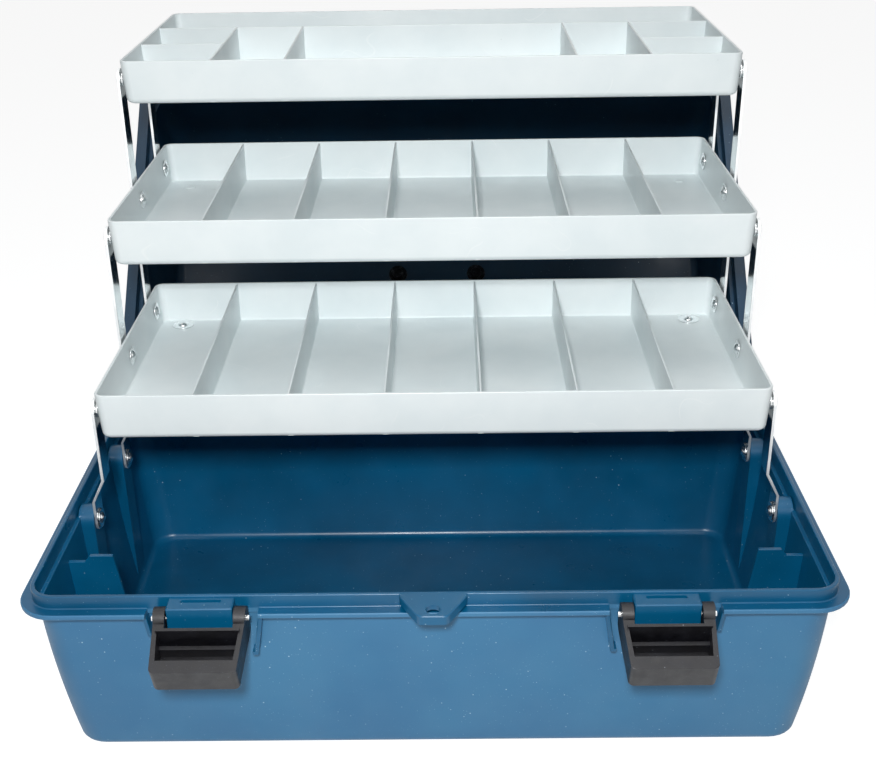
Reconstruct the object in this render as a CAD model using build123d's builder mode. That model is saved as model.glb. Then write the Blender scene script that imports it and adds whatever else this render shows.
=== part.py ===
from build123d import *
import math
import os

# Three-tray storage box, open: tub, leaning lid and three cantilever trays on flat steel arms.
# Millimetres. +X to the right, +Y to the rear, +Z up. The origin is the centre of the tub's underside.

os.makedirs("parts", exist_ok=True)

# Tub: outline and heights
FLANGE_WIDTH = 460.0
FLANGE_DEPTH = 256.0
FLANGE_TOP = 106.5
FLANGE_THICKNESS = 3.0
FLANGE_CORNER_RADIUS = 22.0
TUB_WALL = 3.4
TUB_FLOOR = 4.2
TUB_CORNER_RADIUS = 18.0
TUB_TOP_INSET = 8.0
TUB_MIDDLE_INSET = 11.8
TUB_BOTTOM_INSET = 17.3
TUB_MIDDLE_HEIGHT = 45.0
TUB_BOTTOM_ROUNDING = 7.0
LIP_HEIGHT = 8.0
LIP_THICKNESS = 2.5
LIP_INSET = 6.5
LIP_LEDGE_DROP = 2.0
TUB_SECTIONS = 4

# Padlock tab at the middle of the front
TAB_ROOT_WIDTH = 40.0
TAB_FRONT_WIDTH = 14.0
TAB_REACH = 14.0
TAB_CORNER_RADIUS = 3.0
TAB_THICKNESS = 3.0
TAB_HOLE_RADIUS = 4.0
TAB_HOLE_SETBACK = 6.3
TAB_SKIRT_HEIGHT = 5.5
TAB_SKIRT_THICKNESS = 2.0

# Webs that carry the bottom tray near the front corners
WEB_SETBACK = 70.5
WEB_THICKNESS = 2.6
WEB_HIGH_REACH = 28.7
WEB_LOW_REACH = 11.8
WEB_FOOT_REACH = 41.7
WEB_STEP = 4.1
WEB_STEP_RUN = 3.1

# Linkage: every tray has pivots spaced evenly along its ends
PIVOT_FROM_TRAY_FRONT = 9.6
PIVOT_FROM_TRAY_REAR = 20.4
PIVOT_BELOW_RIM = 13.0
PIVOT_HOLE_DEPTH = 5.0
BASE_PIVOT_SETBACK = 111.0
BASE_PIVOT_HEIGHT = 100.0
BASE_ARM_LENGTH = 76.0
TRAY_PITCH = 30.0

# Arms: flat steel strip
ARM_WIDTH = 14.0
ARM_THICKNESS = 1.8
ARM_JOG_START = 15.0
ARM_JOG_RUN = 15.0
ARM_JOG = 7.7

# Trays: narrower and less deep than the flange by the room that the arms and the closed stack take
TRAY_SIDE_ROOM = 30.0
TRAY_DEPTH_ROOM = 74.0
TRAY_HEIGHT = 29.5
TOP_TRAY_HEIGHT = 28.0
TRAY_WALL = 1.7
TRAY_FLOOR = 1.6
TRAY_TAPER = 1.5
TRAY_CORNER_RADIUS = 6.0
TRAY_BOTTOM_ROUNDING = 4.0
DIVIDER_THICKNESS = 1.4
DIVIDER_DROP = 0.8
TRAY_COMPARTMENTS = 7
TOP_TRAY_REAR_CELL = 60.0
TOP_TRAY_INNER_DIVIDER = 94.0
TOP_TRAY_OUTER_DIVIDER = 142.0

# Rivets and washers
RIVET_RADIUS = 2.4
RIVET_HEAD_RADIUS = 3.7
RIVET_HEAD_HEIGHT = 2.0
RIVET_TAIL_RADIUS = 4.2
RIVET_TAIL_HEIGHT = 1.2
WASHER_RADIUS = 6.0
WASHER_THICKNESS = 0.8
SPACER_RADIUS = 4.6
SPACER_THICKNESS = 1.3
RUNNING_CLEARANCE = 0.06
FIXED_CLEARANCE = 0.02
SIDE_CLEARANCE = 0.08
FLOOR_RIVET_SIDE = 19.0
FLOOR_RIVET_REAR = 12.0
PIP_SIDE = 20.0
PIP_RADIUS = 3.5
PIP_HEIGHT = 0.6

# Pivot columns on the tub's end walls
COLUMN_WIDTH = 18.0
COLUMN_HOLE_DEPTH = 4.0
BASE_PIVOTS = 2
TRAY_PIVOTS = 3
TRAYS = 3

# Lid
LID_OVERHANG = 3.0
LID_OPEN_ANGLE = 133.0
LID_FLANGE_THICKNESS = 3.0
LID_LIP_GAP = 1.2
LID_LIP_POCKET = 9.0
LID_WALL = 1.9
LID_TOP_THICKNESS = 2.0
LID_STACK_GAP = 3.0
LID_TOP_INSET = 11.0
LID_STEP = 3.0
LID_TOP_ROUNDING = 9.0
LID_GAP = 0.3
CATCH_WIDTH = 34.0
CATCH_RISE = 16.0
CATCH_HEIGHT = 10.0
CATCH_REACH = 5.0

# Hinges at the rear, with the buttresses that carry them
HINGE_BEHIND_FLANGE = 7.0
HINGE_OFFSET = 140.0
HINGE_BARREL_RADIUS = 5.2
HINGE_PIN_RADIUS = 1.75
HINGE_LID_BARREL = 22.0
HINGE_TUB_BARREL = 14.0
HINGE_BARREL_GAP = 0.5
HINGE_GUSSET = 10.4
BUTTRESS_THICKNESS = 4.0
BUTTRESS_TOE_RADIUS = 3.0
BUTTRESS_INSET = 2.0
BUTTRESS_ROOT = 17.3

# Latches at the front
LATCH_OFFSET = 126.0
LATCH_WIDTH = 50.0
LATCH_END_WIDTH = 46.0
LATCH_LUG_WIDTH = 36.0
LATCH_PIN_LENGTH = 53.0
LATCH_PIN_RADIUS = 1.6
LATCH_PIN_SETBACK = -1.0
LATCH_PIN_HEIGHT = 105.5
LATCH_LUG_TOP = 113.4
LATCH_LUG_SETBACK = -4.2
LATCH_LUG_HEIGHT = 14.0
LATCH_SLOT_WIDTH = 22.0
LATCH_SLOT_DEPTH = 2.5
LATCH_SLOT_HEIGHT = 3.0
LATCH_NOTCH_WIDTH = 61.2
LATCH_SIDE_GAP = 0.5
LATCH_WALL = 2.4
LATCH_REACH = 34.6
LATCH_BACK = 4.0
LATCH_DROOP = 20.0
LATCH_DEPTH = 15.4
LATCH_RIM_FRONT = 0.9
LATCH_RIM_BACK = 3.0
LATCH_HOOK_WIDTH = 7.4
LATCH_HOOK_THICKNESS = 3.0
LATCH_POCKET_WIDTH = 38.8
LATCH_EAR_RADIUS = 6.3
LATCH_EAR_REACH = 9.0
LATCH_BAR_THICKNESS = 1.8
LATCH_BAR_TOP = 4.0
LATCH_RIB_REACH = 15.0
LATCH_RIB_HEIGHT = 7.0
LATCH_END_ROUNDING = 3.0
RIB_WIDTH = 2.4
RIB_LEAN = 4.1
RIB_SETBACK = 2.2
RIB_LONG_DROP = 26.0
RIB_SHORT_DROP = 13.0
RIB_FOOT = 0.9
RIB_FOOT_HEIGHT = 2.25

# Handle on the lid
HANDLE_SCREW_OFFSET = 32.5
HANDLE_BRACKET_LENGTH = 26.0
HANDLE_BRACKET_WIDTH = 22.0
HANDLE_BRACKET_PLATE = 3.5
HANDLE_AXIS_HEIGHT = 10.0
HANDLE_BARREL_RADIUS = 6.0
HANDLE_STUB_RADIUS = 3.2
HANDLE_LEG_GAP = 0.8
HANDLE_LEG_THICKNESS = 8.0
HANDLE_LEG_WIDTH = 12.0
HANDLE_REACH = 34.0
HANDLE_GRIP_RADIUS = 7.0
SCREW_RADIUS = 2.4
SCREW_LENGTH = 8.0
SCREW_HEAD_RADIUS = 4.4
SCREW_HEAD_HEIGHT = 2.6
SCREW_WASHER_RADIUS = 7.5
SCREW_WASHER_THICKNESS = 1.2

# Worked-out places
FRONT_Y = -FLANGE_DEPTH / 2
REAR_Y = FLANGE_DEPTH / 2
SIDE_X = FLANGE_WIDTH / 2
FLANGE_BOTTOM = FLANGE_TOP - FLANGE_THICKNESS
LIP_TOP = FLANGE_TOP + LIP_HEIGHT
LEDGE_HEIGHT = FLANGE_TOP - LIP_LEDGE_DROP
LIP_INNER_INSET = LIP_INSET + LIP_THICKNESS
TRAY_WIDTH = FLANGE_WIDTH - 2 * TRAY_SIDE_ROOM
TRAY_DEPTH = FLANGE_DEPTH - TRAY_DEPTH_ROOM
PIVOT_SPACING = (TRAY_DEPTH - PIVOT_FROM_TRAY_FRONT - PIVOT_FROM_TRAY_REAR) / (TRAY_PIVOTS - 1)
LINK_LENGTH = math.hypot(PIVOT_SPACING, TRAY_PITCH)
TRAY_SIDE_X = TRAY_WIDTH / 2
PIVOT_COLUMNS = [FRONT_Y + BASE_PIVOT_SETBACK + PIVOT_SPACING * i for i in range(TRAYS + 1)]
PIVOT_LEVELS = [
    BASE_PIVOT_HEIGHT,
    BASE_PIVOT_HEIGHT + BASE_ARM_LENGTH,
    BASE_PIVOT_HEIGHT + BASE_ARM_LENGTH + LINK_LENGTH,
    BASE_PIVOT_HEIGHT + BASE_ARM_LENGTH + 2 * LINK_LENGTH,
]
WALL_AT_PIVOT = TRAY_SIDE_X - TRAY_TAPER * PIVOT_BELOW_RIM / TRAY_HEIGHT
WALL_SLOPE = TRAY_TAPER / TRAY_HEIGHT
SPACER_INNER = WALL_AT_PIVOT + WALL_SLOPE * SPACER_RADIUS + FIXED_CLEARANCE
SPACER_OUTER = SPACER_INNER + SPACER_THICKNESS
ARM_INNER = SPACER_OUTER + SIDE_CLEARANCE
ARM_OUTER = ARM_INNER + ARM_THICKNESS
TAIL_INNER = ARM_OUTER + SIDE_CLEARANCE
HEAD_OUTER = WALL_AT_PIVOT - TRAY_WALL - WALL_SLOPE * WASHER_RADIUS - FIXED_CLEARANCE
WASHER_INNER = HEAD_OUTER - WASHER_THICKNESS
BASE_ARM_INNER = ARM_INNER + ARM_JOG
BASE_ARM_OUTER = BASE_ARM_INNER + ARM_THICKNESS
COLUMN_FACE = BASE_ARM_OUTER + SIDE_CLEARANCE
BASE_WASHER_OUTER = BASE_ARM_INNER - SIDE_CLEARANCE
HINGE_Y = REAR_Y + HINGE_BEHIND_FLANGE
HINGE_Z = FLANGE_TOP + LID_GAP / 2
LID_BOTTOM = FLANGE_TOP + LID_GAP
CLOSED_DROP = BASE_ARM_LENGTH * TRAY_PITCH / LINK_LENGTH
STACK_TOP = BASE_PIVOT_HEIGHT + CLOSED_DROP + 2 * TRAY_PITCH + PIVOT_BELOW_RIM
CLOSED_TRAY_BOTTOM = BASE_PIVOT_HEIGHT + CLOSED_DROP + PIVOT_BELOW_RIM - TRAY_HEIGHT
LID_INNER_TOP = STACK_TOP + LID_STACK_GAP
LID_TOP = LID_INNER_TOP + LID_TOP_THICKNESS
LATCH_PIN_Y = FRONT_Y + LATCH_PIN_SETBACK
OPEN = math.radians(LID_OPEN_ANGLE)
DROOP = math.radians(LATCH_DROOP)
LID_PLANE = Plane(origin=(0, HINGE_Y, HINGE_Z), x_dir=(1, 0, 0), z_dir=(0, math.sin(OPEN), math.cos(OPEN)))
LID_SIDE = Plane(origin=(0, HINGE_Y, HINGE_Z), x_dir=LID_PLANE.y_dir, z_dir=(1, 0, 0))
LID_UP = Axis((0, HINGE_Y, HINGE_Z), (0, math.sin(OPEN), math.cos(OPEN)))
LID_BAND_INSET = LIP_INSET - LID_LIP_GAP - LID_WALL
LID_WALL_INSET = LIP_INSET - LID_LIP_GAP + LID_STEP - LID_WALL
LID_BAND_TOP = LID_BOTTOM + LID_LIP_POCKET + LID_WALL
HANDLE_PIVOT = LID_PLANE.from_local_coords(Vector(0, -HINGE_Y, LID_TOP + HANDLE_AXIS_HEIGHT - HINGE_Z))


def save(piece, name):
    """Label one finished piece and write it under the same name."""
    piece.label = name
    export_step(piece, f"parts/{name}.step")


def lid_level(height):
    """Sketch plane of the open lid for a height that is counted on the closed box."""
    return LID_PLANE.offset(height - HINGE_Z)


def tub_inset(height):
    """Inset of the tub's outer wall from the flange edge: a curve through three heights."""
    t = height / FLANGE_BOTTOM
    m = TUB_MIDDLE_HEIGHT / FLANGE_BOTTOM
    low = TUB_BOTTOM_INSET * (t - m) * (t - 1) / m
    middle = TUB_MIDDLE_INSET * t * (t - 1) / (m * (m - 1))
    top = TUB_TOP_INSET * t * (t - m) / (1 - m)
    return low + middle + top


def tub_body(shrink, bottom):
    """Solid between the bottom level and the flange, drawn in from the outer wall by shrink."""
    with BuildPart() as body:
        for section in range(TUB_SECTIONS):
            height = bottom + (FLANGE_BOTTOM - bottom) * section / (TUB_SECTIONS - 1)
            inset = tub_inset(height) + shrink
            with BuildSketch(Plane.XY.offset(height)):
                RectangleRounded(
                    FLANGE_WIDTH - 2 * inset,
                    FLANGE_DEPTH - 2 * inset,
                    TUB_CORNER_RADIUS - shrink,
                )
        loft()
    return body.part


def tray_block(front, rim, height, shrink, bottom):
    """Tapered block of a tray, drawn in from its outer wall by shrink, from the bottom level to the rim."""
    with BuildPart() as block:
        for level in (bottom, height):
            inset = WALL_SLOPE * (height - level) + shrink
            with BuildSketch(Plane.XY.offset(rim - height + level)):
                with Locations((0, front + TRAY_DEPTH / 2)):
                    RectangleRounded(
                        TRAY_WIDTH - 2 * inset,
                        TRAY_DEPTH - 2 * inset,
                        TRAY_CORNER_RADIUS - shrink,
                    )
        loft()
    return block.part


def tray_shell(front, rim, height, dividers, pivots):
    """Open tray: the tapered block less its cells, with rivet holes in both ends."""
    with BuildPart() as cells:
        add(tray_block(front, rim, height, TRAY_WALL, TRAY_FLOOR))
        with BuildSketch(Plane.XY.offset(rim - height)):
            with Locations((0, front)):
                add(dividers)
        extrude(amount=height - DIVIDER_DROP, mode=Mode.SUBTRACT)
    with BuildPart() as shell:
        add(tray_block(front, rim, height, 0, 0))
        fillet(shell.faces().sort_by(Axis.Z)[0].edges(), TRAY_BOTTOM_ROUNDING)
        add(cells.part, mode=Mode.SUBTRACT)
        for side in (-1, 1):
            with BuildSketch(Plane.YZ.offset(side * TRAY_SIDE_X)):
                with Locations(*pivot_spots(front, rim, range(pivots))):
                    Circle(RIVET_RADIUS + FIXED_CLEARANCE)
            extrude(amount=-side * PIVOT_HOLE_DEPTH, mode=Mode.SUBTRACT)
    return shell.part


def pivot_spots(front, rim, numbers):
    """Places of a tray's numbered pivots in the side view, counted from its front."""
    first = front + PIVOT_FROM_TRAY_FRONT
    return [(first + PIVOT_SPACING * number, rim - PIVOT_BELOW_RIM) for number in numbers]


def rivet(head_face, tail_face, tail):
    """Rivet along X with a domed head before head_face and, if wanted, a flat tail past tail_face."""
    with BuildPart() as body:
        with BuildSketch() as profile:
            with BuildLine():
                TangentArc((head_face - RIVET_HEAD_HEIGHT, 0), (head_face, RIVET_HEAD_RADIUS), tangent=(0, 1))
                if tail:
                    Polyline(
                        (head_face - RIVET_HEAD_HEIGHT, 0),
                        (tail_face + RIVET_TAIL_HEIGHT, 0),
                        (tail_face + RIVET_TAIL_HEIGHT, RIVET_TAIL_RADIUS),
                        (tail_face, RIVET_TAIL_RADIUS),
                        (tail_face, RIVET_RADIUS),
                        (head_face, RIVET_RADIUS),
                        (head_face, RIVET_HEAD_RADIUS),
                    )
                else:
                    Polyline(
                        (head_face - RIVET_HEAD_HEIGHT, 0),
                        (tail_face, 0),
                        (tail_face, RIVET_RADIUS),
                        (head_face, RIVET_RADIUS),
                        (head_face, RIVET_HEAD_RADIUS),
                    )
            make_face()
            if tail:
                edge = profile.vertices().group_by(Axis.X)[-1].sort_by(Axis.Y)[-1]
                chamfer(edge, RIVET_TAIL_HEIGHT / 2)
        revolve(axis=Axis.X)
    return body.part


def rings(spots, inner, thickness, radius, hole):
    """Flat rings on both sides of the box at the given places of the side view."""
    with BuildPart() as body:
        for side in (-1, 1):
            with BuildSketch(Plane.YZ.offset(side * inner)):
                with Locations(*spots):
                    Circle(radius)
                    Circle(hole, mode=Mode.SUBTRACT)
            extrude(amount=side * thickness)
    return body.part


def tray_rivets(front, rim, plain, washered):
    """Pivot rivets of a tray on both sides: the plain ones bear on the wall, the others on a washer."""
    plain_face = HEAD_OUTER + WALL_SLOPE * (WASHER_RADIUS - RIVET_HEAD_RADIUS)
    plain_rivet = rivet(plain_face, TAIL_INNER, True)
    washered_rivet = rivet(WASHER_INNER - FIXED_CLEARANCE, TAIL_INNER, True)
    with BuildPart() as body:
        with Locations(*[(0, y, z) for y, z in pivot_spots(front, rim, plain)]):
            add(plain_rivet)
        with Locations(*[(0, y, z) for y, z in pivot_spots(front, rim, washered)]):
            add(washered_rivet)
        mirror(about=Plane.YZ)
    return body.part


def flat_arm(side, column, levels, jogged):
    """Steel strip with a hole at each level; a jogged one steps out towards the tub wall at its foot."""
    low = levels[0]
    high = levels[-1]
    foot = ARM_JOG if jogged else 0
    with BuildPart() as strip:
        with BuildSketch(Plane.XZ.offset(-column)):
            with BuildLine():
                Polyline(
                    (side * (ARM_INNER + foot), low - ARM_WIDTH),
                    (side * (ARM_OUTER + foot), low - ARM_WIDTH),
                    (side * (ARM_OUTER + foot), low + ARM_JOG_START),
                    (side * ARM_OUTER, low + ARM_JOG_START + ARM_JOG_RUN),
                    (side * ARM_OUTER, high + ARM_WIDTH),
                    (side * ARM_INNER, high + ARM_WIDTH),
                    (side * ARM_INNER, low + ARM_JOG_START + ARM_JOG_RUN),
                    (side * (ARM_INNER + foot), low + ARM_JOG_START),
                    close=True,
                )
            make_face()
        extrude(amount=ARM_WIDTH / 2, both=True)
        with BuildSketch(Plane.YZ):
            with Locations((column, (low + high) / 2)):
                SlotCenterToCenter(high - low, ARM_WIDTH, rotation=90)
            with Locations(*[(column, level) for level in levels]):
                Circle(RIVET_RADIUS + RUNNING_CLEARANCE, mode=Mode.SUBTRACT)
        extrude(amount=side * SIDE_X, mode=Mode.INTERSECT)
    return strip.part


# Tub
outer_body = tub_body(0, 0)
inner_body = tub_body(TUB_WALL, TUB_FLOOR)

with BuildSketch() as tab_outline:
    with BuildLine():
        Polyline(
            (-TAB_ROOT_WIDTH / 2, FRONT_Y + LIP_INSET + LIP_THICKNESS / 2),
            (-TAB_ROOT_WIDTH / 2, FRONT_Y + LIP_INSET / 2),
            (-TAB_FRONT_WIDTH / 2, FRONT_Y - TAB_REACH),
            (TAB_FRONT_WIDTH / 2, FRONT_Y - TAB_REACH),
            (TAB_ROOT_WIDTH / 2, FRONT_Y + LIP_INSET / 2),
            (TAB_ROOT_WIDTH / 2, FRONT_Y + LIP_INSET + LIP_THICKNESS / 2),
            close=True,
        )
    make_face()
    fillet(tab_outline.vertices().group_by(Axis.Y)[0], TAB_CORNER_RADIUS)

with BuildPart() as tub_inside:
    # Cross webs with a stepped top
    web_top = CLOSED_TRAY_BOTTOM - LID_GAP
    web_end = SIDE_X - TUB_TOP_INSET - TUB_WALL / 2
    for side in (-1, 1):
        with BuildSketch(Plane.XZ.offset(-(FRONT_Y + WEB_SETBACK))):
            with BuildLine():
                Polyline(
                    (side * web_end, TUB_FLOOR / 2),
                    (side * (web_end - WEB_FOOT_REACH), TUB_FLOOR / 2),
                    (side * (web_end - WEB_HIGH_REACH), web_top),
                    (side * (web_end - WEB_LOW_REACH - WEB_STEP_RUN), web_top),
                    (side * (web_end - WEB_LOW_REACH), web_top - WEB_STEP),
                    (side * web_end, web_top - WEB_STEP),
                    close=True,
                )
            make_face()
        extrude(amount=WEB_THICKNESS / 2, both=True)
    # Pivot columns
    for side in (-1, 1):
        for column in PIVOT_COLUMNS[:BASE_PIVOTS]:
            with BuildSketch(Plane.YZ.offset(side * COLUMN_FACE)):
                with Locations((column, BASE_PIVOT_HEIGHT)):
                    Circle(COLUMN_WIDTH / 2)
                with Locations((column, BASE_PIVOT_HEIGHT / 2)):
                    Rectangle(COLUMN_WIDTH, BASE_PIVOT_HEIGHT)
            extrude(amount=side * (web_end - COLUMN_FACE))
    # Nothing stands out past the middle of the tub's wall
    add(tub_body(TUB_WALL / 2, 0), mode=Mode.INTERSECT)

with BuildPart() as base_tub:
    add(outer_body)
    fillet(base_tub.faces().sort_by(Axis.Z)[0].edges(), TUB_BOTTOM_ROUNDING)
    with BuildSketch(Plane.XY.offset(FLANGE_BOTTOM)):
        RectangleRounded(FLANGE_WIDTH, FLANGE_DEPTH, FLANGE_CORNER_RADIUS)
    extrude(amount=FLANGE_THICKNESS)
    with BuildSketch(Plane.XY.offset(FLANGE_TOP)):
        RectangleRounded(
            FLANGE_WIDTH - 2 * LIP_INSET,
            FLANGE_DEPTH - 2 * LIP_INSET,
            FLANGE_CORNER_RADIUS - LIP_INSET,
        )
    extrude(amount=LIP_HEIGHT)
    # Padlock tab, level with the lip, on a skirt of its own outline
    with BuildSketch(Plane.XY.offset(LIP_TOP - TAB_THICKNESS)):
        add(tab_outline.sketch)
    extrude(amount=TAB_THICKNESS)
    with BuildSketch(Plane.XY.offset(LIP_TOP - TAB_SKIRT_HEIGHT)):
        add(tab_outline.sketch)
        offset(tab_outline.sketch, amount=-TAB_SKIRT_THICKNESS, mode=Mode.SUBTRACT)
    extrude(amount=TAB_SKIRT_HEIGHT)
    with BuildSketch(Plane.XY.offset(LIP_TOP)):
        with Locations((0, FRONT_Y - TAB_REACH + TAB_HOLE_SETBACK)):
            Circle(TAB_HOLE_RADIUS)
    extrude(amount=-TAB_THICKNESS, mode=Mode.SUBTRACT)
    # Notches in the flange at the latches
    with BuildSketch(Plane.XY.offset(FLANGE_BOTTOM)):
        with Locations(*[(side * LATCH_OFFSET, FRONT_Y + LIP_INSET / 2) for side in (-1, 1)]):
            Rectangle(LATCH_NOTCH_WIDTH, LIP_INSET)
    extrude(amount=FLANGE_THICKNESS, mode=Mode.SUBTRACT)
    # Turned-down ends of the flange beside each latch, leaning in; the inner ones are longer, with a foot
    for side in (-1, 1):
        for end in (-1, 1):
            centre = side * LATCH_OFFSET
            rib_drop = RIB_LONG_DROP if end == -side else RIB_SHORT_DROP
            rib_top = LATCH_NOTCH_WIDTH / 2
            rib_toe = rib_top - RIB_LEAN * rib_drop / RIB_LONG_DROP
            with BuildSketch(Plane.XZ.offset(-FRONT_Y - RIB_SETBACK)):
                with BuildLine():
                    Polyline(
                        (centre + end * rib_top, FLANGE_BOTTOM),
                        (centre + end * (rib_top + RIB_WIDTH), FLANGE_BOTTOM),
                        (centre + end * (rib_toe + RIB_WIDTH), FLANGE_BOTTOM - rib_drop),
                        (centre + end * rib_toe, FLANGE_BOTTOM - rib_drop),
                        close=True,
                    )
                make_face()
                if end == -side:
                    foot_x = centre + end * (rib_toe + (RIB_WIDTH - RIB_FOOT) / 2)
                    with Locations((foot_x, FLANGE_BOTTOM - rib_drop + RIB_FOOT_HEIGHT / 2)):
                        Rectangle(RIB_WIDTH + RIB_FOOT, RIB_FOOT_HEIGHT)
            extrude(amount=-(TUB_TOP_INSET + TUB_WALL))
    # Blocks that hold the latch pins
    lug_depth = TUB_TOP_INSET + TUB_WALL / 2 - LATCH_LUG_SETBACK
    for side in (-1, 1):
        with BuildSketch(Plane.XY.offset(LATCH_LUG_TOP)):
            with Locations((side * LATCH_OFFSET, FRONT_Y + LATCH_LUG_SETBACK + lug_depth / 2)):
                Rectangle(LATCH_LUG_WIDTH, lug_depth)
        extrude(amount=-LATCH_LUG_HEIGHT)
        with BuildSketch(Plane.XY.offset(LATCH_LUG_TOP)):
            with Locations((side * LATCH_OFFSET, FRONT_Y + LIP_INSET / 2)):
                Rectangle(LATCH_SLOT_WIDTH, LATCH_SLOT_DEPTH)
        extrude(amount=-LATCH_SLOT_HEIGHT, mode=Mode.SUBTRACT)
        with BuildSketch(Plane.YZ.offset(side * LATCH_OFFSET)):
            with Locations((LATCH_PIN_Y, LATCH_PIN_HEIGHT)):
                Circle(LATCH_PIN_RADIUS + FIXED_CLEARANCE)
        extrude(amount=LATCH_LUG_WIDTH / 2, both=True, mode=Mode.SUBTRACT)
    # Buttresses behind the rear wall, down to the ground, with the hinge barrels on top
    for side in (-1, 1):
        for end in (-1, 1):
            start = side * HINGE_OFFSET + end * (HINGE_LID_BARREL / 2 + HINGE_BARREL_GAP)
            with BuildSketch(Plane.YZ.offset(start)):
                with Locations((HINGE_Y, HINGE_Z)):
                    Circle(HINGE_BARREL_RADIUS)
                with BuildLine():
                    Polyline(
                        (HINGE_Y, HINGE_Z),
                        (HINGE_Y, HINGE_Z - HINGE_BARREL_RADIUS),
                        (REAR_Y - TUB_TOP_INSET, FLANGE_BOTTOM - HINGE_GUSSET),
                        (REAR_Y - TUB_TOP_INSET - TUB_WALL / 2, FLANGE_BOTTOM),
                        (REAR_Y, FLANGE_TOP),
                        close=True,
                    )
                make_face()
            extrude(amount=end * HINGE_TUB_BARREL)
            with BuildSketch(Plane.YZ.offset(start)) as toe:
                with BuildLine():
                    Polyline(
                        (REAR_Y - TUB_TOP_INSET - TUB_WALL / 2, FLANGE_BOTTOM),
                        (REAR_Y - BUTTRESS_INSET, FLANGE_BOTTOM),
                        (REAR_Y - BUTTRESS_INSET, 0),
                        (REAR_Y - TUB_BOTTOM_INSET - BUTTRESS_ROOT, 0),
                        (REAR_Y - TUB_BOTTOM_INSET - BUTTRESS_ROOT, TUB_FLOOR),
                        (REAR_Y - TUB_BOTTOM_INSET - TUB_WALL / 2, TUB_FLOOR),
                        close=True,
                    )
                make_face()
                fillet(toe.vertices().group_by(Axis.Y)[-1].sort_by(Axis.Z)[0], BUTTRESS_TOE_RADIUS)
            extrude(amount=end * BUTTRESS_THICKNESS)
            with BuildSketch(Plane.YZ.offset(start)):
                with Locations((HINGE_Y, HINGE_Z)):
                    Circle(HINGE_PIN_RADIUS + FIXED_CLEARANCE)
            extrude(amount=end * HINGE_TUB_BARREL, mode=Mode.SUBTRACT)
    # Hollow: the tub, the flange's opening and the step at the foot of the lip
    add(inner_body, mode=Mode.SUBTRACT)
    with BuildSketch(Plane.XY.offset(FLANGE_BOTTOM)):
        RectangleRounded(
            FLANGE_WIDTH - 2 * (TUB_TOP_INSET + TUB_WALL),
            FLANGE_DEPTH - 2 * (TUB_TOP_INSET + TUB_WALL),
            TUB_CORNER_RADIUS - TUB_WALL,
        )
    extrude(amount=FLANGE_THICKNESS, mode=Mode.SUBTRACT)
    with BuildSketch(Plane.XY.offset(LEDGE_HEIGHT)):
        RectangleRounded(
            FLANGE_WIDTH - 2 * (LIP_INSET + LIP_THICKNESS),
            FLANGE_DEPTH - 2 * (LIP_INSET + LIP_THICKNESS),
            FLANGE_CORNER_RADIUS - LIP_INSET - LIP_THICKNESS,
        )
    extrude(amount=LIP_HEIGHT + LIP_LEDGE_DROP, mode=Mode.SUBTRACT)
    # Webs and columns, trimmed to the wall
    add(tub_inside.part)
    for side in (-1, 1):
        with BuildSketch(Plane.YZ.offset(side * COLUMN_FACE)):
            with Locations(*[(column, BASE_PIVOT_HEIGHT) for column in PIVOT_COLUMNS[:BASE_PIVOTS]]):
                Circle(RIVET_RADIUS + FIXED_CLEARANCE)
        extrude(amount=side * COLUMN_HOLE_DEPTH, mode=Mode.SUBTRACT)
save(base_tub.part, "base_tub")

base_spots = [(column, BASE_PIVOT_HEIGHT) for column in PIVOT_COLUMNS[:BASE_PIVOTS]]
with BuildPart() as base_pivot_rivets:
    stud = rivet(
        BASE_WASHER_OUTER - WASHER_THICKNESS - FIXED_CLEARANCE,
        COLUMN_FACE + COLUMN_HOLE_DEPTH - SIDE_CLEARANCE,
        False,
    )
    with Locations(*[(0, y, z) for y, z in base_spots]):
        add(stud)
    mirror(about=Plane.YZ)
save(base_pivot_rivets.part, "base_pivot_rivets")

with BuildPart() as base_pivot_washers:
    add(rings(
        base_spots,
        BASE_WASHER_OUTER - WASHER_THICKNESS,
        WASHER_THICKNESS,
        WASHER_RADIUS,
        RIVET_RADIUS + FIXED_CLEARANCE,
    ))
save(base_pivot_washers.part, "base_pivot_washers")

with BuildPart() as hinge_pins:
    pin_length = HINGE_LID_BARREL + 2 * (HINGE_BARREL_GAP + HINGE_TUB_BARREL)
    for side in (-1, 1):
        with BuildSketch(Plane.YZ.offset(side * HINGE_OFFSET)):
            with Locations((HINGE_Y, HINGE_Z)):
                Circle(HINGE_PIN_RADIUS)
        extrude(amount=pin_length / 2, both=True)
save(hinge_pins.part, "hinge_pins")

with BuildPart() as latch_pins:
    for side in (-1, 1):
        with BuildSketch(Plane.YZ.offset(side * LATCH_OFFSET)):
            with Locations((LATCH_PIN_Y, LATCH_PIN_HEIGHT)):
                Circle(LATCH_PIN_RADIUS)
        extrude(amount=LATCH_PIN_LENGTH / 2, both=True)
save(latch_pins.part, "latch_pins")

# Arms, each named after its place in the stack
arm_rows = (
    ("front_arm", PIVOT_COLUMNS[0], PIVOT_LEVELS[0:2], True),
    ("lower_arm", PIVOT_COLUMNS[1], PIVOT_LEVELS[0:3], True),
    ("middle_arm", PIVOT_COLUMNS[2], PIVOT_LEVELS[1:4], False),
    ("upper_arm", PIVOT_COLUMNS[3], PIVOT_LEVELS[2:4], False),
)
for arm_name, arm_column, arm_levels, arm_jogged in arm_rows:
    for side, hand in ((-1, "left"), (1, "right")):
        with BuildPart() as arm:
            add(flat_arm(side, arm_column, arm_levels, arm_jogged))
        save(arm.part, f"{arm_name}_{hand}")

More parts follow.
